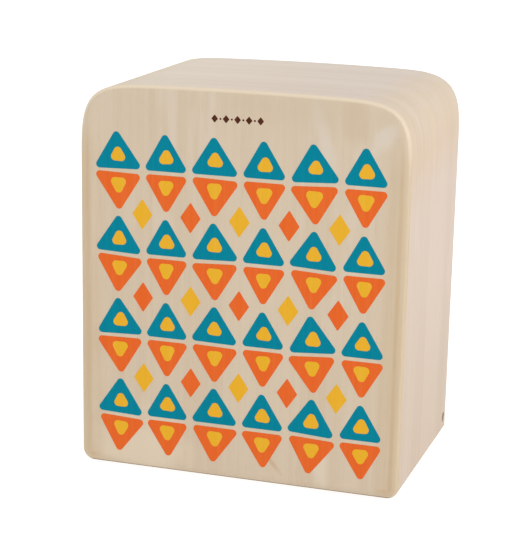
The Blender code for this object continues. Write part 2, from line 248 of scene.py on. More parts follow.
class Effects:
    """The shared effects, each built once: wood grain, ply layers, handled edges and fine dust."""

    def __init__(self) -> None:
        """Builds every group."""
        self.grain = self.build_grain()
        self.layers = self.build_layers()
        self.wear = self.build_wear()
        self.dust = self.build_dust()

    def build_grain(self) -> bpy.types.NodeTree:
        """Pale veneer: broad bands, fine streaks, fibres, pores and a curled figure.

        The place it takes is in metres: across the grain, along it and into the wood.
        """
        takes = {"Place": "Vector", "Light": "Color", "Dark": "Color", "Curl colour": "Color"}
        takes |= {"Band": "Float", "Streak": "Float", "Fibre": "Float", "Curl": "Float", "Pore": "Float"}
        gives = {"Colour": "Color", "Relief": "Float", "Gloss": "Float"}
        tree, wiring, start, end = Effect("wood_grain", takes, gives).open()
        place = start.outputs["Place"]
        bands = wiring.noise(wiring.stretched(place, (27, 2.1, 60)), 1.0, 0.45, 0.45)
        bands = wiring.eased(bands, 0.32, 0.68)
        streaks = wiring.noise(wiring.stretched(place, (210, 2.6, 210), shift=3.1), 4.0, 0.62, 0.15)
        streaks = wiring.eased(streaks, 0.36, 0.66)
        fibres = wiring.noise(wiring.stretched(place, (1300, 17, 1300), shift=7.7), 2.0, 0.6)
        pores = wiring.noise(wiring.stretched(place, (1700, 65, 1700), shift=11.3), 1.0, 0.5)
        pores = wiring.eased(pores, 0.66, 0.76)
        tone = wiring.times(bands, start.outputs["Band"])
        streaked = wiring.times(streaks, start.outputs["Streak"])
        tone = wiring.maths("ADD", tone, streaked)
        fine = wiring.times(wiring.maths("SUBTRACT", fibres, 0.5), start.outputs["Fibre"])
        tone = wiring.maths("ADD", tone, fine)
        colour = wiring.over(tone, start.outputs["Light"], start.outputs["Dark"])
        curls = wiring.noise(wiring.stretched(place, (75, 11, 40), 0.75, 5.2), 2.0, 0.5, 0.9)
        curls = wiring.eased(curls, 0.50, 0.66)
        patch = wiring.noise(wiring.stretched(place, (13, 8, 13), -0.35, 2.3), 1.0, 0.4)
        patch = wiring.eased(patch, 0.50, 0.64)
        curl = wiring.times(wiring.times(curls, patch), start.outputs["Curl"])
        colour = wiring.over(curl, colour, start.outputs["Curl colour"])
        pitted = wiring.times(pores, start.outputs["Pore"])
        colour = wiring.over(pitted, colour, PORE_STAIN, Blend.STAIN)
        relief = wiring.maths("SUBTRACT", wiring.times(fibres, 0.6), pitted)
        gloss = wiring.eased(streaks, 0.0, 1.0, 0.42, 0.54)
        wiring.feed(end.inputs["Colour"], colour)
        wiring.feed(end.inputs["Relief"], relief)
        wiring.feed(end.inputs["Gloss"], gloss)
        return tree

    def build_layers(self) -> bpy.types.NodeTree:
        """The plies seen on a cut edge: long and cross layers in turn, with a thin glue line between."""
        takes = {"Depth": "Float", "Ply": "Float", "Skin": "Float", "Wall": "Float"}
        gives = {"Cut": "Float", "Cross layer": "Float", "Glue line": "Float"}
        tree, wiring, start, end = Effect("ply_layers", takes, gives).open()
        depth = start.outputs["Depth"]
        skin = start.outputs["Skin"]
        under_face = wiring.maths("GREATER_THAN", depth, skin)
        before_back = wiring.maths("LESS_THAN", depth, wiring.maths("SUBTRACT", start.outputs["Wall"], skin))
        cut = wiring.times(under_face, before_back)
        count = wiring.maths("DIVIDE", wiring.maths("SUBTRACT", depth, skin), start.outputs["Ply"])
        pair = wiring.maths("FRACT", wiring.times(count, 0.5))
        cross = wiring.maths("LESS_THAN", pair, 0.5)
        within = wiring.maths("ABSOLUTE", wiring.maths("SUBTRACT", wiring.maths("FRACT", count), 0.5))
        glue = wiring.eased(within, 0.42, 0.49)
        wiring.feed(end.inputs["Cut"], cut)
        wiring.feed(end.inputs["Cross layer"], cross)
        wiring.feed(end.inputs["Glue line"], glue)
        return tree

    def build_wear(self) -> bpy.types.NodeTree:
        """Where hands and floors rub: outward edges, broken up by a slow noise."""
        tree, wiring, start, end = Effect(
            "handled_edges", {"Place": "Vector"}, {"Rubbed": "Float"}
        ).open()
        sharpness = wiring.node("ShaderNodeNewGeometry", {}).outputs["Pointiness"]
        edges = wiring.eased(sharpness, 0.51, 0.60)
        patches = wiring.noise(wiring.stretched(start.outputs["Place"], (60, 60, 60)), 3.0, 0.6)
        rubbed = wiring.times(edges, wiring.eased(patches, 0.35, 0.65, 0.3, 1.0))
        wiring.feed(end.inputs["Rubbed"], rubbed)
        return tree

    def build_dust(self) -> bpy.types.NodeTree:
        """Fine specks and a slow haze, for the roughness of smooth pieces."""
        tree, wiring, start, end = Effect(
            "fine_dust", {"Place": "Vector"}, {"Haze": "Float", "Specks": "Float"}
        ).open()
        place = start.outputs["Place"]
        haze = wiring.noise(wiring.stretched(place, (55, 55, 55), shift=1.9), 4.0, 0.6)
        specks = wiring.noise(wiring.stretched(place, (2600, 2600, 2600), shift=4.4), 1.0, 0.5)
        wiring.feed(end.inputs["Haze"], wiring.eased(haze, 0.3, 0.7))
        wiring.feed(end.inputs["Specks"], wiring.eased(specks, 0.62, 0.74))
        return tree


# ---------------------------------------------------------------- finishes


def new_finish(name: str) -> tuple[bpy.types.Material, Wiring, bpy.types.Node]:
    """Makes an empty material and hands back its wiring and its shader."""
    material = bpy.data.materials.new(name)
    material.use_nodes = True
    return material, Wiring(material.node_tree), material.node_tree.nodes["Principled BSDF"]


def raised(wiring: Wiring, shader: bpy.types.Node, height: Socket, depth: float, amount: float) -> None:
    """Feeds a relief of that depth in metres to the shader's normal."""
    bump = wiring.node("ShaderNodeBump", {"Height": height, "Distance": depth, "Strength": amount})
    wiring.feed(shader.inputs["Normal"], bump.outputs["Normal"])


@dataclass(frozen=True)
class Figure:
    """One soft lens of curled grain on a panel, leaning out of the upright.

    Sizes are in metres: its middle across and up the panel, its half length and its half width.
    """

    across: float
    up: float
    lean: float
    length: float
    width: float
    colour: Colour
    strength: float

    def lay(self, wiring: Wiring, place: Socket, colour: Socket) -> Socket:
        """Lays the lens over the veneer, fading with the distance from its middle in its own measure.

        Args:
            wiring: The material's wiring.
            place: The place in the wood.
            colour: The veneer's colour.

        Returns:
            The colour with the lens over it.
        """
        wander = wiring.noise(wiring.stretched(place, (60, 45, 60), shift=self.across * 90), 2.0, 0.6)
        feeds = {"Vector": place, "Location": (self.across, self.up, 0.0)}
        feeds |= {"Rotation": (0.0, 0.0, self.lean), "Scale": (self.width, self.length, 1.0)}
        own = wiring.node("ShaderNodeMapping", feeds, vector_type="TEXTURE").outputs["Vector"]
        away = wiring.node("ShaderNodeVectorMath", {0: own}, operation="LENGTH").outputs["Value"]
        away = wiring.maths("ADD", away, wiring.times(wander, 1.1))
        return wiring.over(wiring.eased(away, 1.55, 0.85, 0.0, self.strength), colour, self.colour)


@dataclass(frozen=True)
class WoodFinish:
    """Lacquered veneer or plywood that reads the grain attribute of its piece."""

    name: str
    light: Colour
    dark: Colour
    curl_colour: Colour
    core: Colour
    glue: Colour
    band: float = 0.35
    streak: float = 0.35
    fibre: float = 0.55
    curl: float = 0.5
    pore: float = 0.25
    ply: float = 0.0014
    skin: float = 0.0006
    wall: float = 0.0100
    rim_tint: float = 0.0
    # Strength and colour of the painted cream highlight on the panel's rounding.
    rim_highlight: float = 0.0
    rim_highlight_colour: Colour = (1.0, 1.0, 1.0)
    # How strongly the shell's tone and its painted shade are laid on.
    tone_and_shade: float = 0.0
    figures: tuple[Figure, ...] = ()
    relief: float = 0.00003
    # How strongly the painted shade darkens the lower edge.
    underside_shade: float = 0.9
    lacquer: float = 0.12

    def tone_and_shade_shell(self, wiring: Wiring, colour: Socket) -> Socket:
        """Warms the veneer below the seat, most of all on the bends, and paints shade over its right part
        and its low part.

        Args:
            wiring: The material's wiring.
            colour: The veneer's colour.

        Returns:
            The colour with painted shade over the seat's right part and the right side, the sides stained,
            painted shade over the low part, and the bends stained.
        """
        spot = wiring.node("ShaderNodeTexCoord", {}).outputs["Object"]
        across, _, height = wiring.node("ShaderNodeSeparateXYZ", {0: spot}).outputs
        # Painted shade, growing from the seat's left part to the right side.
        painted_right_shade = wiring.eased(across, -0.080, 0.090, 0.0, self.tone_and_shade)
        colour = wiring.over(painted_right_shade, colour, RIGHT_SHADE, Blend.STAIN)
        sides = wiring.eased(height, 0.240, 0.282, self.tone_and_shade, 0.0)
        colour = wiring.over(sides, colour, SIDE_STAIN, Blend.STAIN)
        # Painted shade towards the bottom of the shell.
        low = wiring.eased(height, 0.170, 0.030, 0.0, self.tone_and_shade)
        colour = wiring.over(low, colour, LOWER_SHADE, Blend.STAIN)
        rise = wiring.eased(height, 0.205, 0.250, 0.0, self.tone_and_shade)
        outward = wiring.eased(wiring.maths("ABSOLUTE", across), 0.078, 0.104)
        mottle = wiring.noise(wiring.stretched(spot, (60, 35, 60), shift=4.6), 2.0, 0.6, 0.6)
        bend = wiring.times(rise, outward)
        bend = wiring.times(bend, wiring.eased(mottle, 0.35, 0.65, 0.65, 1.25))
        return wiring.over(bend, colour, BEND_STAIN, Blend.STAIN)

    def dress_rim(self, wiring: Wiring, place: Socket, colour: Socket) -> Socket:
        """Tints the panel along its sides and paints a cream highlight on the rounding, strongest along the
        top.

        Args:
            wiring: The material's wiring.
            place: The place in the wood.
            colour: The veneer's colour.

        Returns:
            The colour with a tan band just inside each side and a painted cream highlight on the rounding
            all round.
        """
        rim = wiring.attribute(RIM).outputs["Fac"]
        across, up, _ = wiring.node("ShaderNodeSeparateXYZ", {0: place}).outputs
        sides = wiring.eased(wiring.maths("ABSOLUTE", across), 0.099, 0.108)
        band = wiring.times(wiring.eased(up, 0.262, 0.230), sides)
        breakup = wiring.noise(wiring.stretched(place, (90, 9, 90), shift=8.8), 2.0, 0.5)
        breakup = wiring.eased(breakup, 0.25, 0.6, 0.5 * self.rim_tint, self.rim_tint)
        stain = wiring.times(band, breakup)
        colour = wiring.over(stain, colour, EDGE_STAIN, Blend.STAIN)
        above = wiring.eased(up, 0.225, 0.275)
        beside = wiring.eased(wiring.maths("ABSOLUTE", across), 0.100, 0.112)
        beside = wiring.times(beside, wiring.maths("SUBTRACT", 1.0, above))
        inner_limit = wiring.eased(rim, 0.0081, 0.0066)
        turned_in = wiring.times(inner_limit, wiring.eased(rim, 0.0036, 0.0052))
        tanned = wiring.times(turned_in, beside)
        colour = wiring.over(tanned, colour, TURN_STAIN, Blend.STAIN)
        # Painted highlight: the outer rounding is paled to cream, five times as strongly along the top as
        # elsewhere.
        painted_highlight = wiring.eased(rim, 0.0030, 0.0008, 0.0, self.rim_highlight)
        painted_highlight = wiring.times(painted_highlight, wiring.eased(above, 0.0, 1.0, 0.20, 1.0))
        return wiring.over(painted_highlight, colour, self.rim_highlight_colour)

    def make(self, effects: Effects) -> bpy.types.Material:
        """Builds the material.

        Args:
            effects: The shared node groups.

        Returns:
            A Principled material whose colour, roughness and relief follow the grain.
        """
        material, wiring, shader = new_finish(self.name)
        place = wiring.attribute(GRAIN).outputs["Vector"]
        depth = wiring.node("ShaderNodeSeparateXYZ", {0: place}).outputs[2]
        feeds = {"Place": place, "Light": self.light, "Dark": self.dark}
        feeds |= {"Curl colour": self.curl_colour, "Band": self.band, "Streak": self.streak}
        feeds |= {"Fibre": self.fibre, "Curl": self.curl, "Pore": self.pore}
        grain = wiring.group(effects.grain, feeds)
        sheet = {"Depth": depth, "Ply": self.ply, "Skin": self.skin, "Wall": self.wall}
        layers = wiring.group(effects.layers, sheet)
        wear = wiring.group(effects.wear, {"Place": place})
        colour = grain.outputs["Colour"]
        if self.tone_and_shade:
            colour = self.tone_and_shade_shell(wiring, colour)
        for figure in self.figures:
            colour = figure.lay(wiring, place, colour)
        crumbs = wiring.noise(wiring.stretched(place, (900, 60, 2400), shift=6.1), 3.0, 0.65)
        core = wiring.over(wiring.eased(crumbs, 0.3, 0.7), self.core, colour)
        cross = wiring.times(layers.outputs["Cross layer"], 0.30)
        core = wiring.over(cross, core, self.glue, Blend.STAIN)
        glued = wiring.times(layers.outputs["Glue line"], 0.55)
        core = wiring.over(glued, core, self.glue, Blend.STAIN)
        colour = wiring.over(layers.outputs["Cut"], colour, core)
        if self.rim_tint:
            colour = self.dress_rim(wiring, place, colour)
        rubbed = wiring.times(wear.outputs["Rubbed"], 0.22)
        colour = wiring.over(rubbed, colour, self.core)
        spot = wiring.node("ShaderNodeTexCoord", {}).outputs["Object"]
        height = wiring.node("ShaderNodeSeparateXYZ", {0: spot}).outputs[2]
        # Painted shade: the wood below 4.8 mm, the lower edge just over the floor, is darkened to a dark
        # line.
        painted_underside_shade = wiring.times(wiring.eased(height, 0.0048, 0.0039), self.underside_shade)
        colour = wiring.over(painted_underside_shade, colour, UNDERSIDE_SHADE, Blend.STAIN)
        wiring.feed(shader.inputs["Base Color"], colour)
        matt = wiring.times(layers.outputs["Cut"], 0.16)
        wiring.feed(shader.inputs["Roughness"], wiring.maths("ADD", grain.outputs["Gloss"], matt))
        shader.inputs["Coat Weight"].default_value = self.lacquer
        shader.inputs["Coat Roughness"].default_value = 0.28
        shader.inputs["Specular IOR Level"].default_value = 0.35
        raised(wiring, shader, grain.outputs["Relief"], self.relief, 0.5)
        return material


@dataclass(frozen=True)
class BattenFinish:
    """Plain planed softwood that shows end grain on its sawn ends."""

    name: str
    light: Colour
    dark: Colour
    end: Colour

    def make(self, effects: Effects) -> bpy.types.Material:
        """Builds the material, with growth rings on the faces marked as end grain."""
        material, wiring, shader = new_finish(self.name)
        place = wiring.attribute(GRAIN).outputs["Vector"]
        feeds = {"Place": place, "Light": self.light, "Dark": self.dark, "Curl colour": self.light}
        feeds |= {"Band": 0.5, "Streak": 0.6, "Fibre": 0.55, "Curl": 0.0, "Pore": 0.35}
        grain = wiring.group(effects.grain, feeds)
        rings = wiring.node(
            "ShaderNodeTexWave",
            {"Vector": wiring.stretched(place, (1, 0, 1)), "Scale": 190.0, "Distortion": 2.5, "Detail": 2.0},
            wave_type="RINGS",
            rings_direction="Y",
        )
        sawn = wiring.over(wiring.eased(rings.outputs["Fac"], 0.2, 0.9, 0.15, 0.75), self.end, self.dark)
        is_end = wiring.attribute(END_GRAIN).outputs["Fac"]
        colour = wiring.over(is_end, grain.outputs["Colour"], sawn)
        wiring.feed(shader.inputs["Base Color"], colour)
        wiring.feed(shader.inputs["Roughness"], wiring.maths("ADD", grain.outputs["Gloss"], 0.18))
        raised(wiring, shader, grain.outputs["Relief"], 0.00005, 0.6)
        return material


@dataclass(frozen=True)
class InkFinish:
    """Screen-printed ink on veneer: the grain shows faintly through, and the film is a little uneven."""

    name: str
    colour: Colour
    thin: Colour
    rough: float = 0.42

    def make(self, effects: Effects) -> bpy.types.Material:
        """Builds the material on the object's own coordinates, which are in metres."""
        material, wiring, shader = new_finish(self.name)
        spot = wiring.node("ShaderNodeTexCoord", {}).outputs["Object"]
        parts = wiring.node("ShaderNodeSeparateXYZ", {0: spot})
        place = wiring.node(
            "ShaderNodeCombineXYZ", {0: parts.outputs[0], 1: parts.outputs[2], 2: parts.outputs[1]}
        ).outputs[0]
        streaks = wiring.noise(wiring.stretched(place, (420, 9, 10), shift=3.1), 3.0, 0.6)
        fibres = wiring.noise(wiring.stretched(place, (1300, 17, 13), shift=7.7), 2.0, 0.6)
        pores = wiring.noise(wiring.stretched(place, (1700, 65, 17), shift=11.3), 1.0, 0.5)
        dust = wiring.group(effects.dust, {"Place": place})
        thinned = wiring.eased(streaks, 0.35, 0.75, 0.0, 0.5)
        thinning = wiring.maths("ADD", thinned, wiring.eased(fibres, 0.5, 0.8, 0.0, 0.3))
        colour = wiring.over(thinning, self.colour, self.thin)
        specks = wiring.times(wiring.eased(pores, 0.68, 0.76), 0.35)
        colour = wiring.over(specks, colour, SPECK_STAIN, Blend.STAIN)
        wiring.feed(shader.inputs["Base Color"], colour)
        haze = wiring.times(dust.outputs["Haze"], 0.12)
        wiring.feed(shader.inputs["Roughness"], wiring.maths("ADD", haze, self.rough))
        shader.inputs["Specular IOR Level"].default_value = 0.05
        raised(wiring, shader, wiring.maths("ADD", fibres, streaks), 0.00002, 0.35)
        return material


@dataclass(frozen=True)
class SteelFinish:
    """Plated steel with fine turning marks, dulled by handling."""

    name: str
    bright: Colour
    dull: Colour
    rough: float

    def make(self, effects: Effects) -> bpy.types.Material:
        """Builds the material on the object's own coordinates, which are in metres."""
        material, wiring, shader = new_finish(self.name)
        place = wiring.node("ShaderNodeTexCoord", {}).outputs["Object"]
        dust = wiring.group(effects.dust, {"Place": place})
        wear = wiring.group(effects.wear, {"Place": place})
        marks = wiring.noise(wiring.stretched(place, (3000, 300, 3000)), 2.0, 0.6)
        colour = wiring.over(dust.outputs["Haze"], self.bright, self.dull)
        rubbed = wiring.times(wear.outputs["Rubbed"], 0.6)
        colour = wiring.over(rubbed, colour, RUBBED_STEEL)
        wiring.feed(shader.inputs["Base Color"], colour)
        rough = wiring.maths("ADD", wiring.times(marks, 0.18), self.rough)
        rough = wiring.maths("ADD", rough, wiring.times(dust.outputs["Specks"], 0.2))
        wiring.feed(shader.inputs["Roughness"], rough)
        shader.inputs["Metallic"].default_value = 1.0
        raised(wiring, shader, marks, 0.00001, 0.4)
        return material


@dataclass(frozen=True)
class RubberFinish:
    """Moulded rubber, greyed by dust."""

    name: str
    black: Colour
    dusty: Colour

    def make(self, effects: Effects) -> bpy.types.Material:
        """Builds the material on the object's own coordinates, which are in metres."""
        material, wiring, shader = new_finish(self.name)
        place = wiring.node("ShaderNodeTexCoord", {}).outputs["Object"]
        dust = wiring.group(effects.dust, {"Place": place})
        pitted = wiring.noise(wiring.stretched(place, (1500, 1500, 1500)), 3.0, 0.6)
        lying = wiring.times(dust.outputs["Haze"], wiring.eased(pitted, 0.35, 0.65))
        colour = wiring.over(lying, self.black, self.dusty)
        wiring.feed(shader.inputs["Base Color"], colour)
        rough = wiring.maths("ADD", wiring.times(pitted, 0.2), 0.62)
        wiring.feed(shader.inputs["Roughness"], rough)
        raised(wiring, shader, pitted, 0.00008, 0.6)
        return material


class Palette:
    """Every finish of the drum, made once."""

    def __init__(self) -> None:
        """Builds the shared effects, then each material."""
        effects = Effects()
        shell = WoodFinish(
            name="shell_veneer",
            light=linear(238, 223, 205),
            dark=linear(226, 209, 188),
            curl_colour=linear(240, 228, 214),
            core=linear(236, 216, 186),
            glue=(0.86, 0.72, 0.56),
            band=0.50,
            streak=0.05,
            fibre=0.18,
            curl=0.45,
            pore=0.15,
            tone_and_shade=1.0,
            relief=0.000012,
        )
        face = WoodFinish(
            name="playing_veneer",
            light=linear(213, 195, 171),
            dark=linear(200, 178, 149),
            curl_colour=linear(220, 205, 187),
            core=linear(222, 203, 177),
            glue=(0.97, 0.93, 0.86),
            band=0.26,
            streak=0.20,
            curl=0.30,
            ply=0.0024,
            skin=0.0008,
            wall=0.0040,
            rim_tint=0.9,
            rim_highlight=0.62,
            rim_highlight_colour=linear(240, 224, 200),
            figures=(
                Figure(0.059, 0.258, 0.30, 0.036, 0.0070, linear(219, 209, 196), 0.48),
                Figure(0.101, 0.260, -0.60, 0.018, 0.0085, linear(221, 211, 199), 0.46),
                Figure(0.080, 0.268, 0.10, 0.022, 0.0120, linear(199, 177, 146), 0.50),
                Figure(0.062, 0.022, 0.10, 0.022, 0.0100, linear(226, 213, 192), 0.60),
                Figure(0.026, 0.021, 0.75, 0.016, 0.0026, linear(194, 160, 122), 0.50),
                Figure(0.020, 0.150, 0.30, 0.026, 0.0060, linear(218, 204, 184), 0.35),
                Figure(-0.070, 0.020, 0.15, 0.040, 0.0450, linear(225, 209, 183), 0.60),
                Figure(0.040, 0.284, 0.00, 0.036, 0.0900, linear(203, 183, 156), 0.40),
                Figure(-0.022, 0.262, 0.02, 0.034, 0.0070, linear(217, 201, 184), 0.45),
                Figure(-0.050, 0.258, -0.03, 0.030, 0.0045, linear(217, 201, 184), 0.40),
            ),
        )
        rear = WoodFinish(
            name="rear_veneer",
            light=linear(219, 202, 178),
            dark=linear(203, 181, 150),
            curl_colour=linear(226, 212, 192),
            core=linear(226, 206, 176),
            glue=(0.80, 0.64, 0.48),
            curl=0.3,
            ply=0.00125,
            skin=0.0006,
            wall=0.0050,
            lacquer=0.05,
        )
        self.shell = shell.make(effects)
        self.face = face.make(effects)
        self.rear = rear.make(effects)
        self.batten = BattenFinish(
            "planed_batten", linear(222, 196, 158), linear(196, 160, 116), linear(206, 172, 128)
        ).make(effects)
        self.inks = {
            Ink.TEAL: InkFinish("teal_ink", linear(0, 127, 150), linear(0, 137, 158)).make(effects),
            Ink.ORANGE: InkFinish("orange_ink", linear(229, 101, 40), linear(232, 114, 52)).make(effects),
            Ink.YELLOW: InkFinish("yellow_ink", linear(232, 174, 42), linear(234, 181, 62)).make(effects),
            Ink.BROWN: InkFinish("brown_ink", linear(78, 40, 26), linear(96, 58, 40)).make(effects),
        }
        self.bright_steel = SteelFinish(
            "zinc_plated_steel", (0.66, 0.66, 0.64), (0.50, 0.50, 0.48), 0.24
        ).make(effects)
        self.dark_steel = SteelFinish(
            "blackened_steel", (0.10, 0.085, 0.07), (0.05, 0.042, 0.035), 0.34
        ).make(effects)
        self.rubber = RubberFinish(
            "foot_rubber_dusty", (0.030, 0.030, 0.031), (0.095, 0.092, 0.088)
        ).make(effects)


# ---------------------------------------------------------------- meshes from arrays


def ring_quads(rings: int, around: int, joined: bool = False) -> np.ndarray:
    """The quads between neighbouring rings of points.

    Point j of ring k is number k * around + j, and each quad joins points j and j + 1 of ring k to
    the same points of ring k + 1. A joined set runs from the last ring back to the first.

    Args:
        rings: How many rings there are.
        around: How many points each closed ring has.
        joined: Whether the last ring meets the first.

    Returns:
        One row of four point numbers for each quad.
    """
    ring = np.arange(rings if joined else rings - 1)[:, None]
    point = np.arange(around)[None, :]
    following = (point + 1) % around
    above = (ring + 1) % rings
    low, high = ring * around, above * around
    corners = (low + point, low + following, high + following, high + point)
    return np.stack(corners, axis=-1).reshape(-1, 4)


def gradient_round(line: np.ndarray) -> np.ndarray:
    """The unit direction along a closed line at each of its points, from its two neighbours."""
    along = np.roll(line, -1, axis=0) - np.roll(line, 1, axis=0)
    return along / np.linalg.norm(along, axis=1)[:, None]


def inward(line: np.ndarray) -> np.ndarray:
    """The unit direction to the inside of a closed anticlockwise line at each point."""
    along = gradient_round(line)
    return np.column_stack([-along[:, 1], along[:, 0]])


def evenly(line: np.ndarray, count: int) -> np.ndarray:
    """Takes that many points at equal steps of length along an open line."""
    steps = np.linalg.norm(np.diff(line, axis=0), axis=1)
    length = np.concatenate([[0.0], np.cumsum(steps)])
    wanted = np.linspace(0, length[-1], count)
    return np.column_stack([np.interp(wanted, length, line[:, axis]) for axis in range(line.shape[1])])


def new_mesh(name: str, points: np.ndarray, faces: list[list[int]], sharp: float) -> bpy.types.Object:
    """Puts points and faces into a closed mesh whose faces point outwards.

    Args:
        name: The piece's name.
        points: One row of x, y and z for each point.
        faces: The point numbers of each face.
        sharp: Edges that turn by more than this many degrees stay crisp.

    Returns:
        The new object at the origin.
    """
    mesh = bpy.data.meshes.new(name)
    mesh.from_pydata(points.reshape(-1, 3).tolist(), [], faces)
    tidy = bmesh.new()
    tidy.from_mesh(mesh)
    bmesh.ops.remove_doubles(tidy, verts=tidy.verts, dist=1e-7)
    bmesh.ops.recalc_face_normals(tidy, faces=tidy.faces)
    tidy.to_mesh(mesh)
    tidy.free()
    mesh.shade_smooth()
    mesh.set_sharp_from_angle(angle=math.radians(sharp))
    obj = bpy.data.objects.new(name, mesh)
    bpy.context.scene.collection.objects.link(obj)
    return obj


def capped(name: str, rings: np.ndarray, sharp: float = SHELL_CREASE) -> bpy.types.Object:
    """One or many closed solids, each lofted through its rings and capped at both ends.

    Args:
        name: The piece's name.
        rings: Points as (solids, rings, points round a ring, 3).
        sharp: Edges that turn by more than this many degrees stay crisp.

    Returns:
        The new object.
    """
    solids, count, around, _ = rings.shape
    start = (np.arange(solids) * count * around)[:, None, None]
    quads = (ring_quads(count, around)[None] + start).reshape(-1, 4).tolist()
    low = (start[:, 0] + np.arange(around)[None, ::-1]).tolist()
    high = (start[:, 0] + (count - 1) * around + np.arange(around)[None]).tolist()
    return new_mesh(name, rings, quads + low + high, sharp)


def points_of(obj: bpy.types.Object) -> np.ndarray:
    """The piece's points as rows of x, y and z."""
    flat = np.empty(len(obj.data.vertices) * 3)
    obj.data.vertices.foreach_get("co", flat)
    return flat.reshape(-1, 3)


def write_vectors(obj: bpy.types.Object, name: str, values: np.ndarray) -> None:
    """Stores one vector for each point of the piece."""
    attribute = obj.data.attributes.new(name, "FLOAT_VECTOR", "POINT")
    attribute.data.foreach_set("vector", values.astype(np.float32).ravel())


def write_values(obj: bpy.types.Object, name: str, values: np.ndarray, domain: str = "POINT") -> None:
    """Stores one number for each point or face of the piece."""
    attribute = obj.data.attributes.new(name, "FLOAT", domain)
    attribute.data.foreach_set("value", values.astype(np.float32).ravel())


def drill(obj: bpy.types.Object, cutter: bpy.types.Object) -> None:
    """Cuts the closed cutter out of the piece for good, and removes the cutter."""
    modifier = obj.modifiers.new("drill", "BOOLEAN")
    modifier.operation = "DIFFERENCE"
    modifier.solver = "EXACT"
    modifier.object = cutter
    graph = bpy.context.evaluated_depsgraph_get()
    cut = bpy.data.meshes.new_from_object(obj.evaluated_get(graph))
    obj.modifiers.clear()
    obj.data = cut
    bpy.data.objects.remove(cutter, do_unlink=True)


def turned(profile: np.ndarray, steps: int) -> np.ndarray:
    """Rings of a solid of revolution: each (radius, height) point is carried round the Z axis."""
    angle = np.linspace(0, math.tau, steps, endpoint=False)
    radius = profile[:, 0][:, None]
    height = np.broadcast_to(profile[:, 1][:, None], (len(profile), steps))
    return np.stack([radius * np.cos(angle), radius * np.sin(angle), height], axis=-1)


def facing(direction: Sequence[float]) -> np.ndarray:
    """The turn that makes the Z axis point in the given direction."""
    return np.array(Vector(direction).to_track_quat("Z", "Y").to_matrix())


def dress(obj: bpy.types.Object, material: bpy.types.Material, stands_for: Sequence[str]) -> None:
    """Gives a piece its finish, its place on the drum and the CAD nodes it stands for."""
    obj.data.materials.clear()
    obj.data.materials.append(material)
    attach(obj, BODY)
    if stands_for:
        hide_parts(*stands_for)
    LOG.info("%s: %d faces, %s", obj.name, len(obj.data.polygons), material.name)


# ---------------------------------------------------------------- sub-assemblies


@dataclass
class BoxShape:
    """The section that the shell, the playing panel and the rear panel share."""

    half_width: float = 0.120
    bottom: float = 0.003
    top: float = 0.286
    crown: float = 0.0023
    reach: float = 0.0605
    power: float = 4.35
    front_foot: float = 0.0087
    rear_foot: float = 0.0010
    foot_steps: int = 12
    wall_steps: int = 36
    corner_steps: int = 56
    seat_steps: int = 40

    @property
    def corner_z(self) -> float:
        """The height at which the wall starts to bend into the seat."""
        return self.top - self.crown - self.reach

    def bend(self) -> np.ndarray:
        """The right-hand bend from the wall to the middle of the seat, as (x, z).

        The bend is a quarter of a superellipse, x and z being cosine and sine raised to 2 over its
        power, and the whole is lowered by the crown times the square of x over the half width.
        """
        angle = np.linspace(0, math.pi / 2, 4000)
        share = 2 / self.power
        x = self.half_width - self.reach + self.reach * np.cos(angle) ** share
        z = self.top - self.reach + self.reach * np.sin(angle) ** share
        z = z - self.crown * (x / self.half_width) ** 2
        corner = evenly(np.column_stack([x, z]), self.corner_steps)
        seat_x = np.linspace(self.half_width - self.reach, 0, self.seat_steps // 2 + 1)[1:]
        seat_z = self.top - self.crown * (seat_x / self.half_width) ** 2
        return np.vstack([corner, np.column_stack([seat_x, seat_z])])

    def arch(self, foot: float) -> np.ndarray:
        """The outside of the shell from its right foot over the seat to its left foot, as (x, z).

        Args:
            foot: The radius of the rounded lower corners.

        Returns:
            Points that run anticlockwise as seen from the front.
        """
        turn = np.linspace(math.pi / 2, 0, self.foot_steps)
        corner_x = self.half_width - foot + foot * np.cos(turn)
        corner_z = self.bottom + foot - foot * np.sin(turn)
        wall_z = np.linspace(self.bottom + foot, self.corner_z, self.wall_steps)[1:-1]
        wall = np.column_stack([np.full(len(wall_z), self.half_width), wall_z])
        right = np.vstack([np.column_stack([corner_x, corner_z]), wall, self.bend()])
        left = right[-2::-1] * (-1, 1)
        return np.vstack([right, left])

    def inner_arch(self, inset: float) -> np.ndarray:
        """The arch moved inwards by inset, with straight feet, matching arch() point for point."""
        square = self.arch(self.front_foot)
        feet = np.linspace(self.bottom, self.bottom + self.front_foot, self.foot_steps)
        square[: self.foot_steps] = np.column_stack([np.full(self.foot_steps, self.half_width), feet])
        square[-self.foot_steps :] = square[: self.foot_steps][::-1] * (-1, 1)
        along = np.gradient(square, axis=0)
        along[[0, -1]] = [(0, 1), (0, -1)]
        along /= np.linalg.norm(along, axis=1)[:, None]
        return square + inset * np.column_stack([-along[:, 1], along[:, 0]])

    def grain_places(self, points: np.ndarray) -> np.ndarray:
        """Where each point of the shell lies in the wood, in metres.

        Args:
            points: Rows of x, y and z.

        Returns:
            Rows of the place across the grain, which is y, the length along the bent sheet from the
            right foot, and the depth under the outer face, both taken at the nearest point of the arch.
        """
        line = self.inner_arch(0.0)
        length = np.concatenate([[0.0], np.cumsum(np.linalg.norm(np.diff(line, axis=0), axis=1))])
        section = points[:, [0, 2]]
        gaps = np.linalg.norm(section[:, None, :] - line[None, :, :], axis=2)
        nearest = gaps.argmin(axis=1)
        nearest = np.clip(nearest, 1, len(line) - 2)
        along = line[nearest + 1] - line[nearest - 1]
        along /= np.linalg.norm(along, axis=1)[:, None]
        away = section - line[nearest]
        run = length[nearest] + (away * along).sum(axis=1)
        depth = np.abs(away[:, 0] * along[:, 1] - away[:, 1] * along[:, 0])
        return np.column_stack([points[:, 1], run, depth])


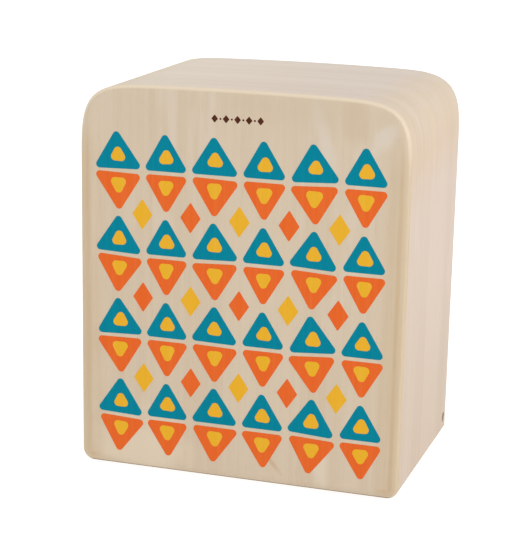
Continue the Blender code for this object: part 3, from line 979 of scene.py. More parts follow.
@dataclass
class BentShell:
    """The bent plywood that makes both sides and the seat."""

    shape: BoxShape
    front: float = -0.0810
    rear: float = 0.0850
    wall: float = 0.0100
    outer_edge: float = 0.0014
    inner_edge: float = 0.0008
    seam: float = 0.0003
    screw_y: float = 0.0754
    screw_z: float = 0.0130
    screw_hole: float = 0.0041

    def profile(self) -> np.ndarray:
        """The wall's closed section as (y, share of the wall): outside, rear edge, inside.

        Both rear edges are quarter circles, and a small bevel marks the seam with the panel.
        """
        turn = np.linspace(0, math.pi / 2, 7)
        outside = np.linspace(self.front + self.seam, self.rear - self.outer_edge, 14)[:-1]
        over_y = self.rear - self.outer_edge * (1 - np.sin(turn))
        over_t = self.outer_edge * (1 - np.cos(turn)) / self.wall
        under_y = self.rear - self.inner_edge * (1 - np.cos(turn))
        under_t = 1 - self.inner_edge * (1 - np.sin(turn)) / self.wall
        inside = np.linspace(self.rear - self.inner_edge, self.front, 10)[1:]
        y = np.concatenate([[self.front], outside, over_y, under_y, inside])
        flat = np.zeros(len(outside))
        share = np.concatenate([[self.seam / self.wall], flat, over_t, under_t, np.ones(len(inside))])
        return np.column_stack([y, share])

    def build(self) -> bpy.types.Object:
        """Lofts the wall's section along the arch, then drills the two countersunk holes.

        The point at u, v is the outer arch at u moved towards the inner arch at u by the section's
        share at v, and the lower corners' radius runs from front to rear in step with y.
        """
        section = self.profile()
        run = (section[:, 0] - self.front) / (self.rear - self.front)
        feet = self.shape.front_foot + (self.shape.rear_foot - self.shape.front_foot) * run
        outer = np.stack([self.shape.arch(foot) for foot in feet], axis=1)
        inner = self.shape.inner_arch(self.wall)[:, None, :]
        share = section[:, 1][None, :, None]
        flat = outer * (1 - share) + inner * share
        y = np.broadcast_to(section[:, 0], flat.shape[:2])
        rings = np.stack([flat[..., 0], y, flat[..., 1]], axis=-1)
        shell = capped("seat_shell", rings[None])
        drill(shell, self.screw_holes())
        shell.data.set_sharp_from_angle(angle=math.radians(SHELL_CREASE))
        write_vectors(shell, GRAIN, self.shape.grain_places(points_of(shell)))
        return shell

    def screw_holes(self) -> bpy.types.Object:
        """One cutter for both side screws: a short cylinder over a cone and the shank's bore."""
        gap = 0.0003
        head = self.screw_hole
        above = [(NEAR_AXIS, 0.004), (head, 0.004), (head, -0.0012)]
        below = [(0.0022, -0.0036), (0.0022, -0.014), (NEAR_AXIS, -0.014)]
        profile = np.array(above + below)
        profile[2:, 1] -= gap
        rings = turned(profile, 40)
        both = []
        for side in Side:
            spun = rings @ facing((side.value, 0, 0)).T
            both.append(spun + (side.value * self.shape.half_width, self.screw_y, self.screw_z))
        return capped("side_hole_cutter", np.stack(both))

    def assemble(self, palette: Palette) -> None:
        """Builds and dresses the shell."""
        dress(self.build(), palette.shell, ["body_shell"])


@dataclass
class PlayingPanel:
    """The thin plywood face that is struck, rounded over along its whole front edge."""

    shape: BoxShape
    front: float = -0.0850
    thickness: float = 0.0040
    rounding: float = 0.0060
    rounding_depth: float = 0.0035
    seam: float = 0.0003

    def outline(self) -> np.ndarray:
        """The panel's closed outline, flush with the shell, as (x, z)."""
        arch = self.shape.arch(self.shape.front_foot)
        bottom_x = np.linspace(arch[-1, 0], arch[0, 0], 80)[1:-1]
        return np.vstack([arch, np.column_stack([bottom_x, np.full(len(bottom_x), self.shape.bottom)])])

    def build(self) -> bpy.types.Object:
        """Carries the edge's section round the outline and closes it front and back.

        The section is an inset from the outline against y: a small bevel at the back, then a quarter
        ellipse, then four flat rings on the face, which hold the face flat and carry the rim's tint.
        """
        outline = self.outline()
        turn = np.linspace(0, math.pi / 2, 13)
        curve = self.rounding * (1 - np.cos(turn))
        insets = np.concatenate([[0.0008, self.seam, 0.0], curve, [0.0064, 0.0070, 0.0076, 0.0082]])
        back = self.front + self.thickness
        rise = self.front + self.rounding_depth * (1 - np.sin(turn))
        levels = np.concatenate([[back, back, back - self.seam], rise, np.full(4, self.front)])
        flat = outline[None] + insets[:, None, None] * inward(outline)[None]
        y = np.broadcast_to(levels[:, None], flat.shape[:2])
        panel = capped("playing_face", np.stack([flat[..., 0], y, flat[..., 1]], axis=-1)[None], 50.0)
        points = points_of(panel)
        write_vectors(panel, GRAIN, np.column_stack([points[:, 0], points[:, 2], points[:, 1] - self.front]))
        gaps = np.linalg.norm(points[:, None, [0, 2]] - outline[None], axis=2).min(axis=1)
        write_values(panel, RIM, gaps)
        return panel

    def assemble(self, palette: Palette) -> None:
        """Builds and dresses the panel."""
        dress(self.build(), palette.face, ["front_panel"])


@dataclass(frozen=True)
class Column:
    """One column of the print, with how far its hand-cut stencils swing from row to row.

    Sizes are in millimetres: the width of its triangles, the rise of the upright triangle's base and
    of the hanging triangle's top from left to right, and the sideways lean of the hanging point.
    """

    width: float
    base_rise: tuple[float, ...] = (0.0, 0.0, 0.0, 0.0)
    top_rise: tuple[float, ...] = (0.0, 0.0, 0.0, 0.0)
    point_lean: tuple[float, ...] = (0.2, -0.2, 0.0, 1.3)


@dataclass
class Print:
    """The screen-printed triangles and diamonds, as thin films of ink on the playing panel.

    Sizes are in millimetres on the panel, x from its middle and height from its lower edge.
    """

    face: float = -0.0850
    bottom: float = 0.0030
    film: float = 0.00010
    pitch_x: float = 36.1
    pitch_z: float = 60.66
    drift_x: float = 0.70
    rise_z: float = 0.24
    upright: tuple[float, float] = (-0.97, 232.30)
    hanging: tuple[float, float] = (-0.44, 210.59)
    diamond: tuple[float, float] = (-0.14, 191.04)
    height: float = 25.9
    corner: float = 2.7
    heart: tuple[float, float] = (10.6, 10.3)
    hanging_heart: tuple[float, float] = (10.3, 11.8)
    heart_corner: float = 3.0
    heart_shift: tuple[float, float] = (0.6, 0.3)
    hanging_heart_shift: tuple[float, float] = (0.0, 1.1)
    rows: int = 4
    diamond_size: tuple[float, float] = (15.2, 22.4)
    columns: tuple[Column, ...] = (
        Column(33.4, (1.0, -1.4, 1.4, -1.4), (-0.8, -2.2, 0.8, -1.8), (1.1, -1.7, 1.2, -2.8)),
        Column(29.6),
        Column(33.0, (0.0, 1.2, -0.8, 0.0), (-1.2, 1.8, -1.0, -0.2), (-0.4, 0.7, 0.0, -1.8)),
        Column(29.4),
        Column(33.2, (1.8, -1.8, 2.6, -2.2), (1.8, -2.0, 2.6, -1.6), (1.7, -1.7, 2.5, -2.8)),
        Column(29.0),
    )

    def lattice(self, first: tuple[float, float], across: int, down: int) -> np.ndarray:
        """Middles of a motif's copies, as (down, across, 2), on a lattice turned by its drift and rise."""
        row, column = np.meshgrid(np.arange(down), np.arange(across) - (across - 1) / 2, indexing="ij")
        x = first[0] + self.pitch_x * column + self.drift_x * row
        z = first[1] + self.rise_z * column - self.pitch_z * row
        return np.stack([x, z], axis=-1)

    def table(self, field: str) -> np.ndarray:
        """One of the columns' swings, as (rows, columns)."""
        return np.array([getattr(column, field) for column in self.columns]).T

    def triangles(self, middles: np.ndarray, rise: np.ndarray, lean: np.ndarray, way: int) -> np.ndarray:
        """Corners of the triangles about their centroids.

        The sharp triangle is larger than the printed one by what rounding its corners takes off.

        Args:
            middles: Centroids as (rows, columns, 2).
            rise: How much the flat side climbs from left to right.
            lean: How far the point stands to the right of the flat side's middle.
            way: 1 for a point at the top, -1 for one at the bottom.

        Returns:
            Corners as (triangles, 3, 2), anticlockwise.
        """
        half = np.array([column.width for column in self.columns])[None, :] / 2 + 0.83 * self.corner
        half = np.broadcast_to(half, rise.shape)
        height = self.height + self.corner
        low = np.full(rise.shape, -way * height / 3)
        right = np.stack([half - lean / 3, low + rise / 2], axis=-1)
        left = np.stack([-half - lean / 3, low - rise / 2], axis=-1)
        point = np.stack([2 * lean / 3, np.full(rise.shape, way * 2 * height / 3)], axis=-1)
        order = (left, right, point) if way > 0 else (right, left, point)
        return (np.stack(order, axis=2) + middles[:, :, None, :]).reshape(-1, 3, 2)

    def hearts(self, middles: np.ndarray, size: tuple[float, float], way: int, seed: int) -> np.ndarray:
        """Corners of the small rounded triangles, each a little different, as if cut by hand.

        Args:
            middles: Their middles as (rows, columns, 2).
            size: Their width and height.
            way: 1 for a point at the top, -1 for one at the bottom.
            seed: What the small differences are drawn from.

        Returns:
            Corners as (triangles, 3, 2), anticlockwise.
        """
        chance = np.random.default_rng(seed)
        count = middles.shape[0] * middles.shape[1]
        wide = size[0] + 1.66 * self.heart_corner
        tall = size[1] + self.heart_corner
        corners = way * np.array([(-wide / 2, -tall / 3), (wide / 2, -tall / 3), (0.0, 2 * tall / 3)])
        wobble = chance.uniform(-0.6, 0.6, (count, 3, 2))
        return corners[None] + wobble + middles.reshape(-1, 1, 2)

    def diamonds(self, middles: np.ndarray) -> np.ndarray:
        """Corners of upright diamonds about their middles."""
        wide, tall = self.diamond_size
        corners = np.array([(0, -tall / 2), (wide / 2, 0), (0, tall / 2), (-wide / 2, 0)])
        return corners[None] + middles.reshape(-1, 1, 2)

    @staticmethod
    def rounded(corners: np.ndarray, radius: float, steps: int = 8) -> np.ndarray:
        """Outlines whose corners are arcs that touch both sides.

        At a corner with half angle h the arc's middle lies radius / sin(h) along the bisector, and
        the arc turns evenly from one side's normal to the other's.

        Args:
            corners: Corners as (shapes, corners, 2), anticlockwise.
            radius: The arc's radius.
            steps: Points in each arc.

        Returns:
            Outlines as (shapes, points, 2).
        """
        before = np.roll(corners, 1, axis=1) - corners
        after = np.roll(corners, -1, axis=1) - corners
        before = before / np.linalg.norm(before, axis=2)[..., None]
        after = after / np.linalg.norm(after, axis=2)[..., None]
        bisector = before + after
        bisector = bisector / np.linalg.norm(bisector, axis=2)[..., None]
        half_sine = np.sqrt(np.clip((1 - (before * after).sum(axis=2)) / 2, 1e-6, 1))
        middle = corners + bisector * (radius / half_sine)[..., None]
        start = np.arctan2(before[..., 0], -before[..., 1])
        end = np.arctan2(-after[..., 0], after[..., 1])
        sweep = (end - start) % math.tau
        angle = start[..., None] + sweep[..., None] * np.linspace(0, 1, steps)
        arcs = middle[:, :, None, :] + radius * np.stack([np.cos(angle), np.sin(angle)], axis=-1)
        return arcs.reshape(len(corners), -1, 2)

    def films(self, outlines: np.ndarray, proud: float, soft: float = 0.10) -> np.ndarray:
        """Rings of closed films of ink: from inside the wood to a face with a softened edge.

        Args:
            outlines: Outlines in millimetres as (shapes, points, 2).
            proud: How far the ink stands over the panel, in metres.
            soft: How far the film's edge slopes in, in millimetres.

        Returns:
            Points in metres as (shapes, rings, points, 3).
        """
        along = np.roll(outlines, -1, axis=1) - np.roll(outlines, 1, axis=1)
        along = along / np.linalg.norm(along, axis=2)[..., None]
        inwards = np.stack([-along[..., 1], along[..., 0]], axis=-1)
        insets = np.array([soft, 0.0, 0.0, soft, 2 * soft])
        levels = self.face + np.array([0.0004, 0.0003, -0.3 * proud, -proud, -proud])
        flat = outlines[:, None] + insets[None, :, None, None] * inwards[:, None]
        x = flat[..., 0] / 1000
        z = flat[..., 1] / 1000 + self.bottom
        y = np.broadcast_to(levels[None, :, None], x.shape)
        return np.stack([x, y, z], axis=-1)

    def ornament(self) -> np.ndarray:
        """A short row of lozenges between dots, as outlines of one number of points."""
        count = np.arange(9) - 4
        wide = np.where(count % 2 == 0, 4.9, 1.9)
        tall = np.where(count % 2 == 0, 5.8, 1.9)
        unit = np.array([(0, -0.5), (0.5, 0), (0, 0.5), (-0.5, 0)])
        corners = unit[None] * np.stack([wide, tall], axis=-1)[:, None, :]
        middles = np.column_stack([-2.6 + 4.15 * count, 262.6 + 0.03 * count])
        return self.rounded(corners + middles[:, None, :], 0.45, 5)

    def build(self) -> dict[Ink, bpy.types.Object]:
        """Builds one piece for each ink."""
        teal_middles = self.lattice(self.upright, len(self.columns), self.rows)
        orange_middles = self.lattice(self.hanging, len(self.columns), self.rows)
        diamond_middles = self.lattice(self.diamond, len(self.columns) - 1, self.rows - 1)
        base_rise = self.table("base_rise")
        teal = self.triangles(teal_middles, base_rise, -0.9 - 0.75 * base_rise, 1)
        orange = self.triangles(orange_middles, self.table("top_rise"), self.table("point_lean"), -1)
        diamonds = self.diamonds(diamond_middles)
        across, down = len(self.columns) - 1, self.rows - 1
        yellow_first = np.add.outer(np.arange(down), np.arange(across)).ravel() % 2 == 0
        over_teal = self.hearts(teal_middles + self.heart_shift, self.heart, 1, 5)
        over_orange = self.hearts(orange_middles + self.hanging_heart_shift, self.hanging_heart, -1, 6)
        hearts = self.rounded(np.concatenate([over_teal, over_orange]), self.heart_corner, 10)
        orange_films = self.films(self.rounded(orange, self.corner), self.film)
        orange_diamonds = self.films(self.rounded(diamonds[~yellow_first], 0.6, 6), self.film)
        yellow_diamonds = self.films(self.rounded(diamonds[yellow_first], 0.6, 6), self.film)
        return {
            Ink.TEAL: capped(Ink.TEAL.value, self.films(self.rounded(teal, self.corner), self.film)),
            Ink.ORANGE: self.joined(Ink.ORANGE, orange_films, orange_diamonds),
            Ink.YELLOW: self.joined(Ink.YELLOW, self.films(hearts, 2 * self.film), yellow_diamonds),
            Ink.BROWN: capped(Ink.BROWN.value, self.films(self.ornament(), self.film)),
        }

    @staticmethod
    def joined(ink: Ink, *sets: np.ndarray) -> bpy.types.Object:
        """Joins sets of films with unlike numbers of points into one piece."""
        parts = [capped(ink.value, films) for films in sets]
        whole = bmesh.new()
        for part in parts:
            whole.from_mesh(part.data)
        whole.to_mesh(parts[0].data)
        whole.free()
        for part in parts[1:]:
            bpy.data.objects.remove(part, do_unlink=True)
        parts[0].name = ink.value
        return parts[0]

    def assemble(self, palette: Palette) -> None:
        """Builds and dresses every ink."""
        for ink, piece in self.build().items():
            dress(piece, palette.inks[ink], [])


@dataclass(frozen=True)
class Screw:
    """A countersunk cross-head screw that points down -Z, with the top of its head at height 0."""

    head: float
    head_height: float
    shank: float
    length: float
    steps: int = 64

    def rings(self) -> np.ndarray:
        """The screw's rings from the middle of its head to its tip.

        Over the head the height is minus the socket's depth times a soft cross: the larger of two
        bars, each a product of two eased steps of x and y. Below it, the rings follow the cone, the
        shank and the tip.
        """
        radius = np.concatenate([np.linspace(1e-5, 0.96, 26), [1.0]]) * self.head
        angle = np.linspace(0, math.tau, self.steps, endpoint=False)
        x = radius[:, None] * np.cos(angle)
        y = radius[:, None] * np.sin(angle)
        sunk = np.maximum(self.bar(x, y), self.bar(y, x))
        depth = 0.62 * self.head_height * sunk * (1 - 0.45 * radius[:, None] / self.head)
        rounding = np.zeros(len(radius))
        rounding[-1] = 0.04 * self.head
        top = np.stack([x, y, -depth - rounding[:, None]], axis=-1)
        below = np.array(
            [
                (self.head, -0.12 * self.head_height),
                (self.shank, -self.head_height),
                (self.shank, -self.head_height - 0.7 * self.length),
                (1e-5, -self.head_height - self.length),
            ]
        )
        return np.concatenate([top, turned(below, self.steps)])

    def bar(self, along: np.ndarray, across: np.ndarray) -> np.ndarray:
        """One bar of the cross: 1 inside its length and width, eased to 0 outside."""
        soft = 0.035 * self.head
        narrow = 1 / (1 + np.exp((np.abs(across) - 0.15 * self.head) / soft))
        short = 1 / (1 + np.exp((np.abs(along) - 0.60 * self.head) / soft))
        return narrow * short

    def place(
        self, name: str, spots: Sequence[Sequence[float]], direction: Sequence[float]
    ) -> bpy.types.Object:
        """Sets one screw at each spot, all facing one way, each turned a little further than the last."""
        return self.place_each(name, spots, [direction] * len(spots))

    def place_each(
        self, name: str, spots: Sequence[Sequence[float]], directions: Sequence[Sequence[float]]
    ) -> bpy.types.Object:
        """Sets one screw at each spot, with its head facing its own direction."""
        base = self.rings()
        placed = []
        for count, (spot, direction) in enumerate(zip(spots, directions, strict=True)):
            spin = np.array(Matrix.Rotation(0.4 + 1.1 * count, 3, "Z"))
            placed.append(base @ (facing(direction) @ spin).T + np.array(spot))
        return capped(name, np.stack(placed), 28.0)


@dataclass
class RearPanel:
    """The rear panel inside the shell, with a round sound hole and eight screws."""

    shape: BoxShape
    inset: float = 0.0105
    low: float = 0.0193
    inner: float = 0.0785
    outer: float = 0.0835
    hole_radius: float = 0.0400
    hole_z: float = 0.14765
    hole_edge: float = 0.0011
    edge: float = 0.0004
    screw: Screw = Screw(0.0030, 0.0018, 0.0015, 0.0150)

    def outline(self) -> np.ndarray:
        """The panel's closed outline as (x, z), standing on the base board."""
        arch = self.shape.inner_arch(self.inset)
        arch = arch[arch[:, 1] > self.low + 0.0015]
        side = np.linspace(self.low, arch[0, 1], 4)[:-1]
        right = np.column_stack([np.full(3, arch[0, 0]), side])
        left = right[::-1] * (-1, 1)
        bottom_x = np.linspace(left[-1, 0], right[0, 0], 60)[1:-1]
        bottom = np.column_stack([bottom_x, np.full(len(bottom_x), self.low)])
        return np.vstack([right, arch, left, bottom])

    def build(self) -> bpy.types.Object:
        """Closes a ring of sections between the hole and the outline.

        Each point of the outline is paired with the point of the hole at the same bearing. A section
        runs through the hole's rounded edge, across the inner face, round the outer edge and back
        across the outer face.
        """
        outline = self.outline()
        centre = np.array([0.0, self.hole_z])
        bearing = outline - centre
        bearing /= np.linalg.norm(bearing, axis=1)[:, None]
        turn = np.linspace(0, math.pi / 2, 7)
        ease_out, ease_in = 1 - np.cos(turn), 1 - np.sin(turn)
        grow = self.hole_edge * ease_out
        hole_y = self.inner + self.hole_edge * ease_in
        grown = np.concatenate([grow, [self.hole_edge + 0.0006]])
        hole_levels = np.concatenate([hole_y, [self.inner]])
        rims = centre + bearing[None] * (self.hole_radius + grown[:, None, None])
        shrink = np.concatenate([[self.edge + 0.0005], self.edge * ease_out[::-1]])
        edge_levels = np.concatenate([[self.inner], self.inner + self.edge * ease_in[::-1]])
        edges = outline[None] + shrink[:, None, None] * inward(outline)[None]
        flat = np.concatenate([rims, edges, edges[::-1], rims[::-1]])
        far = self.inner + self.outer
        inner_levels = np.concatenate([hole_levels, edge_levels])
        levels = np.concatenate([inner_levels, far - inner_levels[::-1]])
        y = np.broadcast_to(levels[:, None], flat.shape[:2])
        points = np.stack([flat[..., 0], y, flat[..., 1]], axis=-1)
        quads = ring_quads(len(flat), len(outline), joined=True).tolist()
        panel = new_mesh("rear_board", points, quads, PANEL_CREASE)
        drill(panel, self.screw_holes())
        panel.data.set_sharp_from_angle(angle=math.radians(PANEL_CREASE))
        places = points_of(panel)
        write_vectors(panel, GRAIN, np.column_stack([places[:, 0], places[:, 2], self.outer - places[:, 1]]))
        return panel

    def spots(self) -> list[tuple[float, float, float]]:
        """Where the eight screws sit: three up each side, one at the top and one at the bottom."""
        places = []
        for number in range(1, 9):
            low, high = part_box(f"back_screw_{number}")
            places.append(((low.x + high.x) / 2, self.outer, (low.z + high.z) / 2))
        return places

    def screw_holes(self) -> bpy.types.Object:
        """One cutter with a countersunk bore for each screw."""
        head = self.screw.head + 0.0003
        above = [(NEAR_AXIS, 0.002), (head, 0.002), (head, -0.0004)]
        below = [(0.0018, -0.0022), (0.0018, -0.012), (NEAR_AXIS, -0.012)]
        profile = np.array(above + below)
        rings = turned(profile, 32) @ facing((0, 1, 0)).T
        return capped("rear_hole_cutter", np.stack([rings + np.array(spot) for spot in self.spots()]))

    def assemble(self, palette: Palette) -> None:
        """Builds and dresses the panel and its screws."""
        dress(self.build(), palette.rear, ["back_panel"])
        sunk = [(x, y - 0.0003, z) for x, y, z in self.spots()]
        screws = self.screw.place("rear_screws", sunk, (0, 1, 0))
        dress(screws, palette.bright_steel, [f"back_screw_{n}" for n in range(1, 9)])


@dataclass
class SoftBlocks:
    """Sawn blocks with eased edges, one for each CAD node, joined in one piece."""

    name: str
    nodes: tuple[str, ...]
    easing: float = 0.0007

    def build(self) -> bpy.types.Object:
        """Builds eight-cornered blocks from the nodes' boxes and rounds their edges.

        The grain runs along each block's longest side, and its two smallest faces are end grain.
        """
        boxes = np.array([[list(corner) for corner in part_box(node)] for node in self.nodes])
        floor = [[0, 0, 0], [1, 0, 0], [1, 1, 0], [0, 1, 0]]
        pick = np.array(floor + [[x, y, 1] for x, y, _ in floor])
        points = boxes[:, pick, np.arange(3)[None, :]]
        level = [[0, 3, 2, 1], [4, 5, 6, 7]]
        sides = np.array(level + [[0, 1, 5, 4], [2, 3, 7, 6], [1, 2, 6, 5], [3, 0, 4, 7]])
        faces = (sides[None] + 8 * np.arange(len(boxes))[:, None, None]).reshape(-1, 4)
        obj = new_mesh(self.name, points, faces.tolist(), 30.0)
        longest = (boxes[:, 1] - boxes[:, 0]).argmax(axis=1)
        order = np.array([[1, 0, 2], [0, 1, 2], [0, 2, 1]])[longest]
        places = np.take_along_axis(points, np.repeat(order[:, None, :], 8, axis=1), axis=2)
        places = places + 0.37 * np.arange(len(boxes))[:, None, None]
        write_vectors(obj, GRAIN, places.reshape(-1, 3))
        normal = np.array([2, 2, 1, 1, 0, 0])
        write_values(obj, END_GRAIN, (normal[None] == longest[:, None]).astype(float), "FACE")
        easing = obj.modifiers.new("eased_edges", "BEVEL")
        easing.width = self.easing
        easing.segments = 3
        easing.limit_method = "ANGLE"
        return obj


@dataclass
class Frame:
    """The battens behind both panels and the base board between the sides."""

    board_low: float = 0.0070

    def assemble(self, palette: Palette) -> None:
        """Builds and dresses both sets of battens and the base board."""
        for end in ("front", "back"):
            nodes = tuple(f"{end}_batten_{part}" for part in ("left", "right", "top", "bottom"))
            dress(SoftBlocks(f"{end}_frame", nodes).build(), palette.batten, nodes)
        board = SoftBlocks("floor_board", ("base_board",), 0.0005).build()
        points = points_of(board)
        board.data.attributes.remove(board.data.attributes[GRAIN])
        places = np.column_stack([points[:, 1], points[:, 0], points[:, 2] - self.board_low])
        write_vectors(board, GRAIN, places)
        dress(board, palette.shell, ["base_board"])


@dataclass
class SideScrews:
    """The two dark screws that hold the base board between the sides."""

    screw: Screw = Screw(0.0038, 0.0024, 0.0020, 0.0120)

    def assemble(self, palette: Palette) -> None:
        """Builds and dresses both screws."""
        spots = []
        ways = []
        for side in Side:
            low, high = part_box(f"side_screw_{side.name.lower()}")
            x = high.x if side is Side.RIGHT else low.x
            spots.append((x, (low.y + high.y) / 2, (low.z + high.z) / 2))
            ways.append((side.value, 0, 0))
        screws = self.screw.place_each("side_screws", spots, ways)
        dress(screws, palette.dark_steel, ["side_screw_left", "side_screw_right"])


@dataclass
class Snare:
    """The rail, its clamp plate and the coiled wires that rest on the playing panel."""

    wires: int = 12
    pitch: float = 0.004
    coil_radius: float = 0.00055
    strand_radius: float = 0.00025
    coil_pitch: float = 0.0013
    plate_front: float = -0.0666
    rail_z: float = 0.135
    plate_height: float = 0.012
    panel_back: float = -0.0810
    gap: float = 0.0003
    lean: float = 0.034
    contact: float = 0.042
    tip: float = 0.008
    tip_lift: float = 0.0015
    screw: Screw = Screw(0.0025, 0.0016, 0.0012, 0.0100)

    def route(self) -> np.ndarray:
        """A wire's centre line as (y, z): up the plate, over to the panel, along it and off it.

        The crossing is half a cosine wave, and the tip lifts with the square of its length.
        """
        radius = self.coil_radius + self.strand_radius
        rest = self.plate_front - self.gap - radius
        touch = self.panel_back + self.gap + radius
        start = self.rail_z - self.plate_height / 2 + 0.001
        leave = self.rail_z + self.plate_height / 2
        share = np.linspace(0, 1, 60)
        crossing = rest + (touch - rest) * (1 - np.cos(math.pi * share)) / 2
        tip_z = leave + self.lean + self.contact + self.tip * share
        y = np.concatenate([[rest], crossing, touch + self.tip_lift * share**2])
        z = np.concatenate([[start], leave + self.lean * share, tip_z])
        return np.column_stack([y, z])

    def coils(self) -> np.ndarray:
        """Rings of the coiled wires, as (wires, rings, points, 3).

        A strand's centre turns round the route at the coil's radius once per coil pitch, and a small
        circle is carried along it, in the plane of the coil's radius and the strand's binormal.
        """
        line = self.route()
        length = np.linalg.norm(np.diff(line, axis=0), axis=1).sum()
        count = int(length / self.coil_pitch * 10)
        path = evenly(line, count)
        along = np.gradient(path, axis=0)
        along /= np.linalg.norm(along, axis=1)[:, None]
        forward = np.column_stack([np.zeros(count), along])
        sideways = np.tile([1.0, 0.0, 0.0], (count, 1))
        upward = np.cross(forward, sideways)
        phase = np.linspace(0, math.tau * length / self.coil_pitch, count)[:, None]
        outwards = np.cos(phase) * sideways + np.sin(phase) * upward
        centre = np.column_stack([np.zeros(count), path]) + self.coil_radius * outwards
        tangent = np.gradient(centre, axis=0)
        tangent /= np.linalg.norm(tangent, axis=1)[:, None]
        binormal = np.cross(tangent, outwards)
        angle = np.linspace(0, math.tau, 5, endpoint=False)[None, :, None]
        rim = np.cos(angle) * outwards[:, None] + np.sin(angle) * binormal[:, None]
        rings = centre[:, None] + self.strand_radius * rim
        offsets = (np.arange(self.wires) - (self.wires - 1) / 2) * self.pitch
        shift = np.stack([offsets, np.zeros(self.wires), np.zeros(self.wires)], axis=-1)
        return rings[None] + shift[:, None, None, :]

    def assemble(self, palette: Palette) -> None:
        """Builds and dresses the rail, the plate, its screws and the wires."""
        rail = SoftBlocks("snare_bar", ("snare_rail",)).build()
        dress(rail, palette.batten, ["snare_rail"])
        plate = SoftBlocks("snare_clamp", ("snare_plate",), 0.0003).build()
        dress(plate, palette.bright_steel, ["snare_plate"])
        spots = []
        for side in ("left", "right"):
            low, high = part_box(f"snare_screw_{side}")
            spots.append(((low.x + high.x) / 2, low.y - 0.0002, (low.z + high.z) / 2))
        screws = self.screw.place("snare_clamp_screws", spots, (0, -1, 0))
        dress(screws, palette.bright_steel, ["snare_screw_left", "snare_screw_right"])
        strands = capped("snare_strands", self.coils(), 80.0)
        dress(strands, palette.bright_steel, [f"snare_wire_{n:02d}" for n in range(1, 13)])


@dataclass
class Pads:
    """Four rubber pads under the base board, with a softened rim and a shallow ring in the tread."""

    radius: float = 0.0090
    height: float = 0.0067
    rounding: float = 0.0012
    groove: float = 0.0004
    top_easing: float = 0.0003

    def profile(self) -> np.ndarray:
        """The pad's section as (radius, height), from the middle of its top to that of its tread."""
        turn = np.linspace(0, math.pi / 2, 7)
        rim_r = self.radius - self.rounding * (1 - np.cos(turn))
        rim_z = self.rounding * (1 - np.sin(turn))
        tread_r = np.linspace(self.radius - self.rounding, NEAR_AXIS, 14)[1:]
        share = tread_r / (self.radius - self.rounding)
        tread_z = self.groove * np.exp(-(((share - 0.6) / 0.12) ** 2))
        eased = self.top_easing
        shoulder = [(self.radius - eased, self.height), (self.radius, self.height - eased)]
        top = np.array([(NEAR_AXIS, self.height)] + shoulder)
        lower = np.column_stack([np.concatenate([rim_r, tread_r]), np.concatenate([rim_z, tread_z])])
        return np.vstack([top, lower])

    def assemble(self, palette: Palette) -> None:
        """Builds and dresses the pads."""
        nodes = [f"foot_{end}_{side}" for end in ("front", "rear") for side in ("left", "right")]
        rings = turned(self.profile(), 48)
        placed = []
        for node in nodes:
            low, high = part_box(node)
            placed.append(rings + np.array([(low.x + high.x) / 2, (low.y + high.y) / 2, 0.0]))
        dress(capped("rubber_pads", np.stack(placed)), palette.rubber, nodes)


# ---------------------------------------------------------------- studio


@dataclass(frozen=True)
class SoftBox:
    """One large soft light that looks at the drum."""

    name: str
    place: tuple[float, float, float]
    size: float
    power: float

    def build(self, target: Vector) -> None:
        """Hangs the light."""
        data = bpy.data.lights.new(self.name, "AREA")
        data.shape = "SQUARE"
        data.size = self.size
        data.energy = self.power
        lamp = bpy.data.objects.new(self.name, data)
        lamp.location = self.place
        lamp.rotation_euler = (target - Vector(self.place)).to_track_quat("-Z", "Y").to_euler()
        bpy.context.scene.collection.objects.link(lamp)


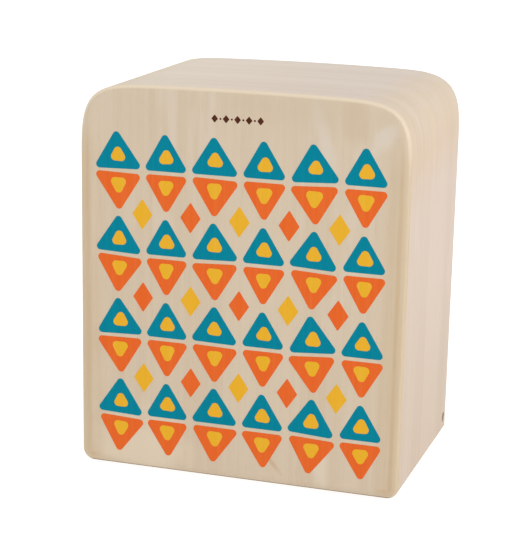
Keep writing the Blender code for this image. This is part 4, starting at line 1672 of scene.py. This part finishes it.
@dataclass
class Studio:
    """A pale floor, soft light and the camera."""

    camera_place: tuple[float, float, float] = (0.3497, -1.1696, 0.4505)
    yaw: float = -0.2984
    pitch: float = 0.2535
    roll: float = 0.0202
    lens: float = 109.22
    floor_reach: float = 12.0
    floor_glow: float = 0.82
    floor_bounce: float = 0.42
    ambient: float = 0.67
    lights: tuple[SoftBox, ...] = (
        SoftBox("key_light", (1.7, -1.0, 1.1), 1.3, 15.4),
        SoftBox("fill_light", (-1.4, -1.9, 0.6), 1.6, 7.2),
        SoftBox("top_light", (-1.0, 0.3, 1.7), 1.4, 4.2),
    )

    def build_floor(self) -> None:
        """Lays a white floor whose own glow keeps its shadows faint, and which is clear from below."""
        reach = self.floor_reach
        corners = [(-reach, -reach, 0), (reach, -reach, 0), (reach, reach, 0), (-reach, reach, 0)]
        mesh = bpy.data.meshes.new("pale_floor")
        mesh.from_pydata(corners, [], [(0, 1, 2, 3)])
        floor = bpy.data.objects.new("pale_floor", mesh)
        bpy.context.scene.collection.objects.link(floor)
        material, wiring, shader = new_finish("pale_floor")
        place = wiring.node("ShaderNodeTexCoord", {}).outputs["Object"]
        mottle = wiring.eased(wiring.noise(place, 2.0), 0.3, 0.7)
        wiring.feed(shader.inputs["Base Color"], wiring.over(mottle, (0.55, 0.55, 0.55), (0.53, 0.53, 0.53)))
        shader.inputs["Roughness"].default_value = 0.9
        shader.inputs["Specular IOR Level"].default_value = 0.0
        shader.inputs["Emission Color"].default_value = (1.0, 1.0, 1.0, 1.0)
        seen = wiring.node("ShaderNodeLightPath", {}).outputs["Is Camera Ray"]
        glow = wiring.eased(seen, 0.0, 1.0, self.floor_bounce, self.floor_glow)
        wiring.feed(shader.inputs["Emission Strength"], glow)
        below = wiring.node("ShaderNodeNewGeometry", {}).outputs["Backfacing"]
        clear = wiring.node("ShaderNodeBsdfTransparent", {}).outputs["BSDF"]
        one_way = wiring.node("ShaderNodeMixShader", {0: below, 1: shader.outputs["BSDF"], 2: clear})
        ending = material.node_tree.nodes["Material Output"]
        wiring.feed(ending.inputs["Surface"], one_way.outputs[0])
        mesh.materials.append(material)

    def build_sky(self) -> None:
        """Surrounds the scene with even white light, and shows as plain white where it is seen."""
        world = bpy.data.worlds.new("soft_white")
        world.use_nodes = True
        wiring = Wiring(world.node_tree)
        backdrop = world.node_tree.nodes["Background"]
        backdrop.inputs["Color"].default_value = (1.0, 1.0, 1.0, 1.0)
        seen = wiring.node("ShaderNodeLightPath", {}).outputs["Is Camera Ray"]
        strength = wiring.eased(seen, 0.0, 1.0, self.ambient, 1.0)
        wiring.feed(backdrop.inputs["Strength"], strength)
        bpy.context.scene.world = world

    def build_camera(self) -> None:
        """Sets the camera from its yaw, pitch and roll."""
        forward = Vector(
            (
                math.sin(self.yaw) * math.cos(self.pitch),
                math.cos(self.yaw) * math.cos(self.pitch),
                -math.sin(self.pitch),
            )
        )
        right = Vector((math.cos(self.yaw), -math.sin(self.yaw), 0.0))
        up = right.cross(forward)
        across = math.cos(self.roll) * right + math.sin(self.roll) * up
        upright = math.cos(self.roll) * up - math.sin(self.roll) * right
        turn = Matrix((across, upright, -forward)).transposed()
        data = bpy.data.cameras.new("camera")
        data.lens = self.lens
        data.sensor_width = 36.0
        data.clip_start = 0.05
        data.clip_end = 60.0
        camera = bpy.data.objects.new("camera", data)
        camera.matrix_world = Matrix.Translation(self.camera_place) @ turn.to_4x4()
        bpy.context.scene.collection.objects.link(camera)
        bpy.context.scene.camera = camera

    def build(self) -> None:
        """Sets up the floor, the light, the camera and a plain view of colour."""
        self.build_floor()
        self.build_sky()
        self.build_camera()
        target = (CAD_BOX[0] + CAD_BOX[1]) / 2
        for light in self.lights:
            light.build(target)
        bpy.context.scene.view_settings.view_transform = "Standard"
        bpy.context.scene.view_settings.look = "None"


def main() -> None:
    """Builds the drum from the shell inwards, then the studio."""
    logging.basicConfig(level=logging.INFO, format="%(name)s: %(message)s")
    palette = Palette()
    shape = BoxShape()
    BentShell(shape).assemble(palette)
    PlayingPanel(shape).assemble(palette)
    Print().assemble(palette)
    RearPanel(shape).assemble(palette)
    Frame().assemble(palette)
    SideScrews().assemble(palette)
    Snare().assemble(palette)
    Pads().assemble(palette)
    Studio().build()


if __name__ == "__main__":
    main()
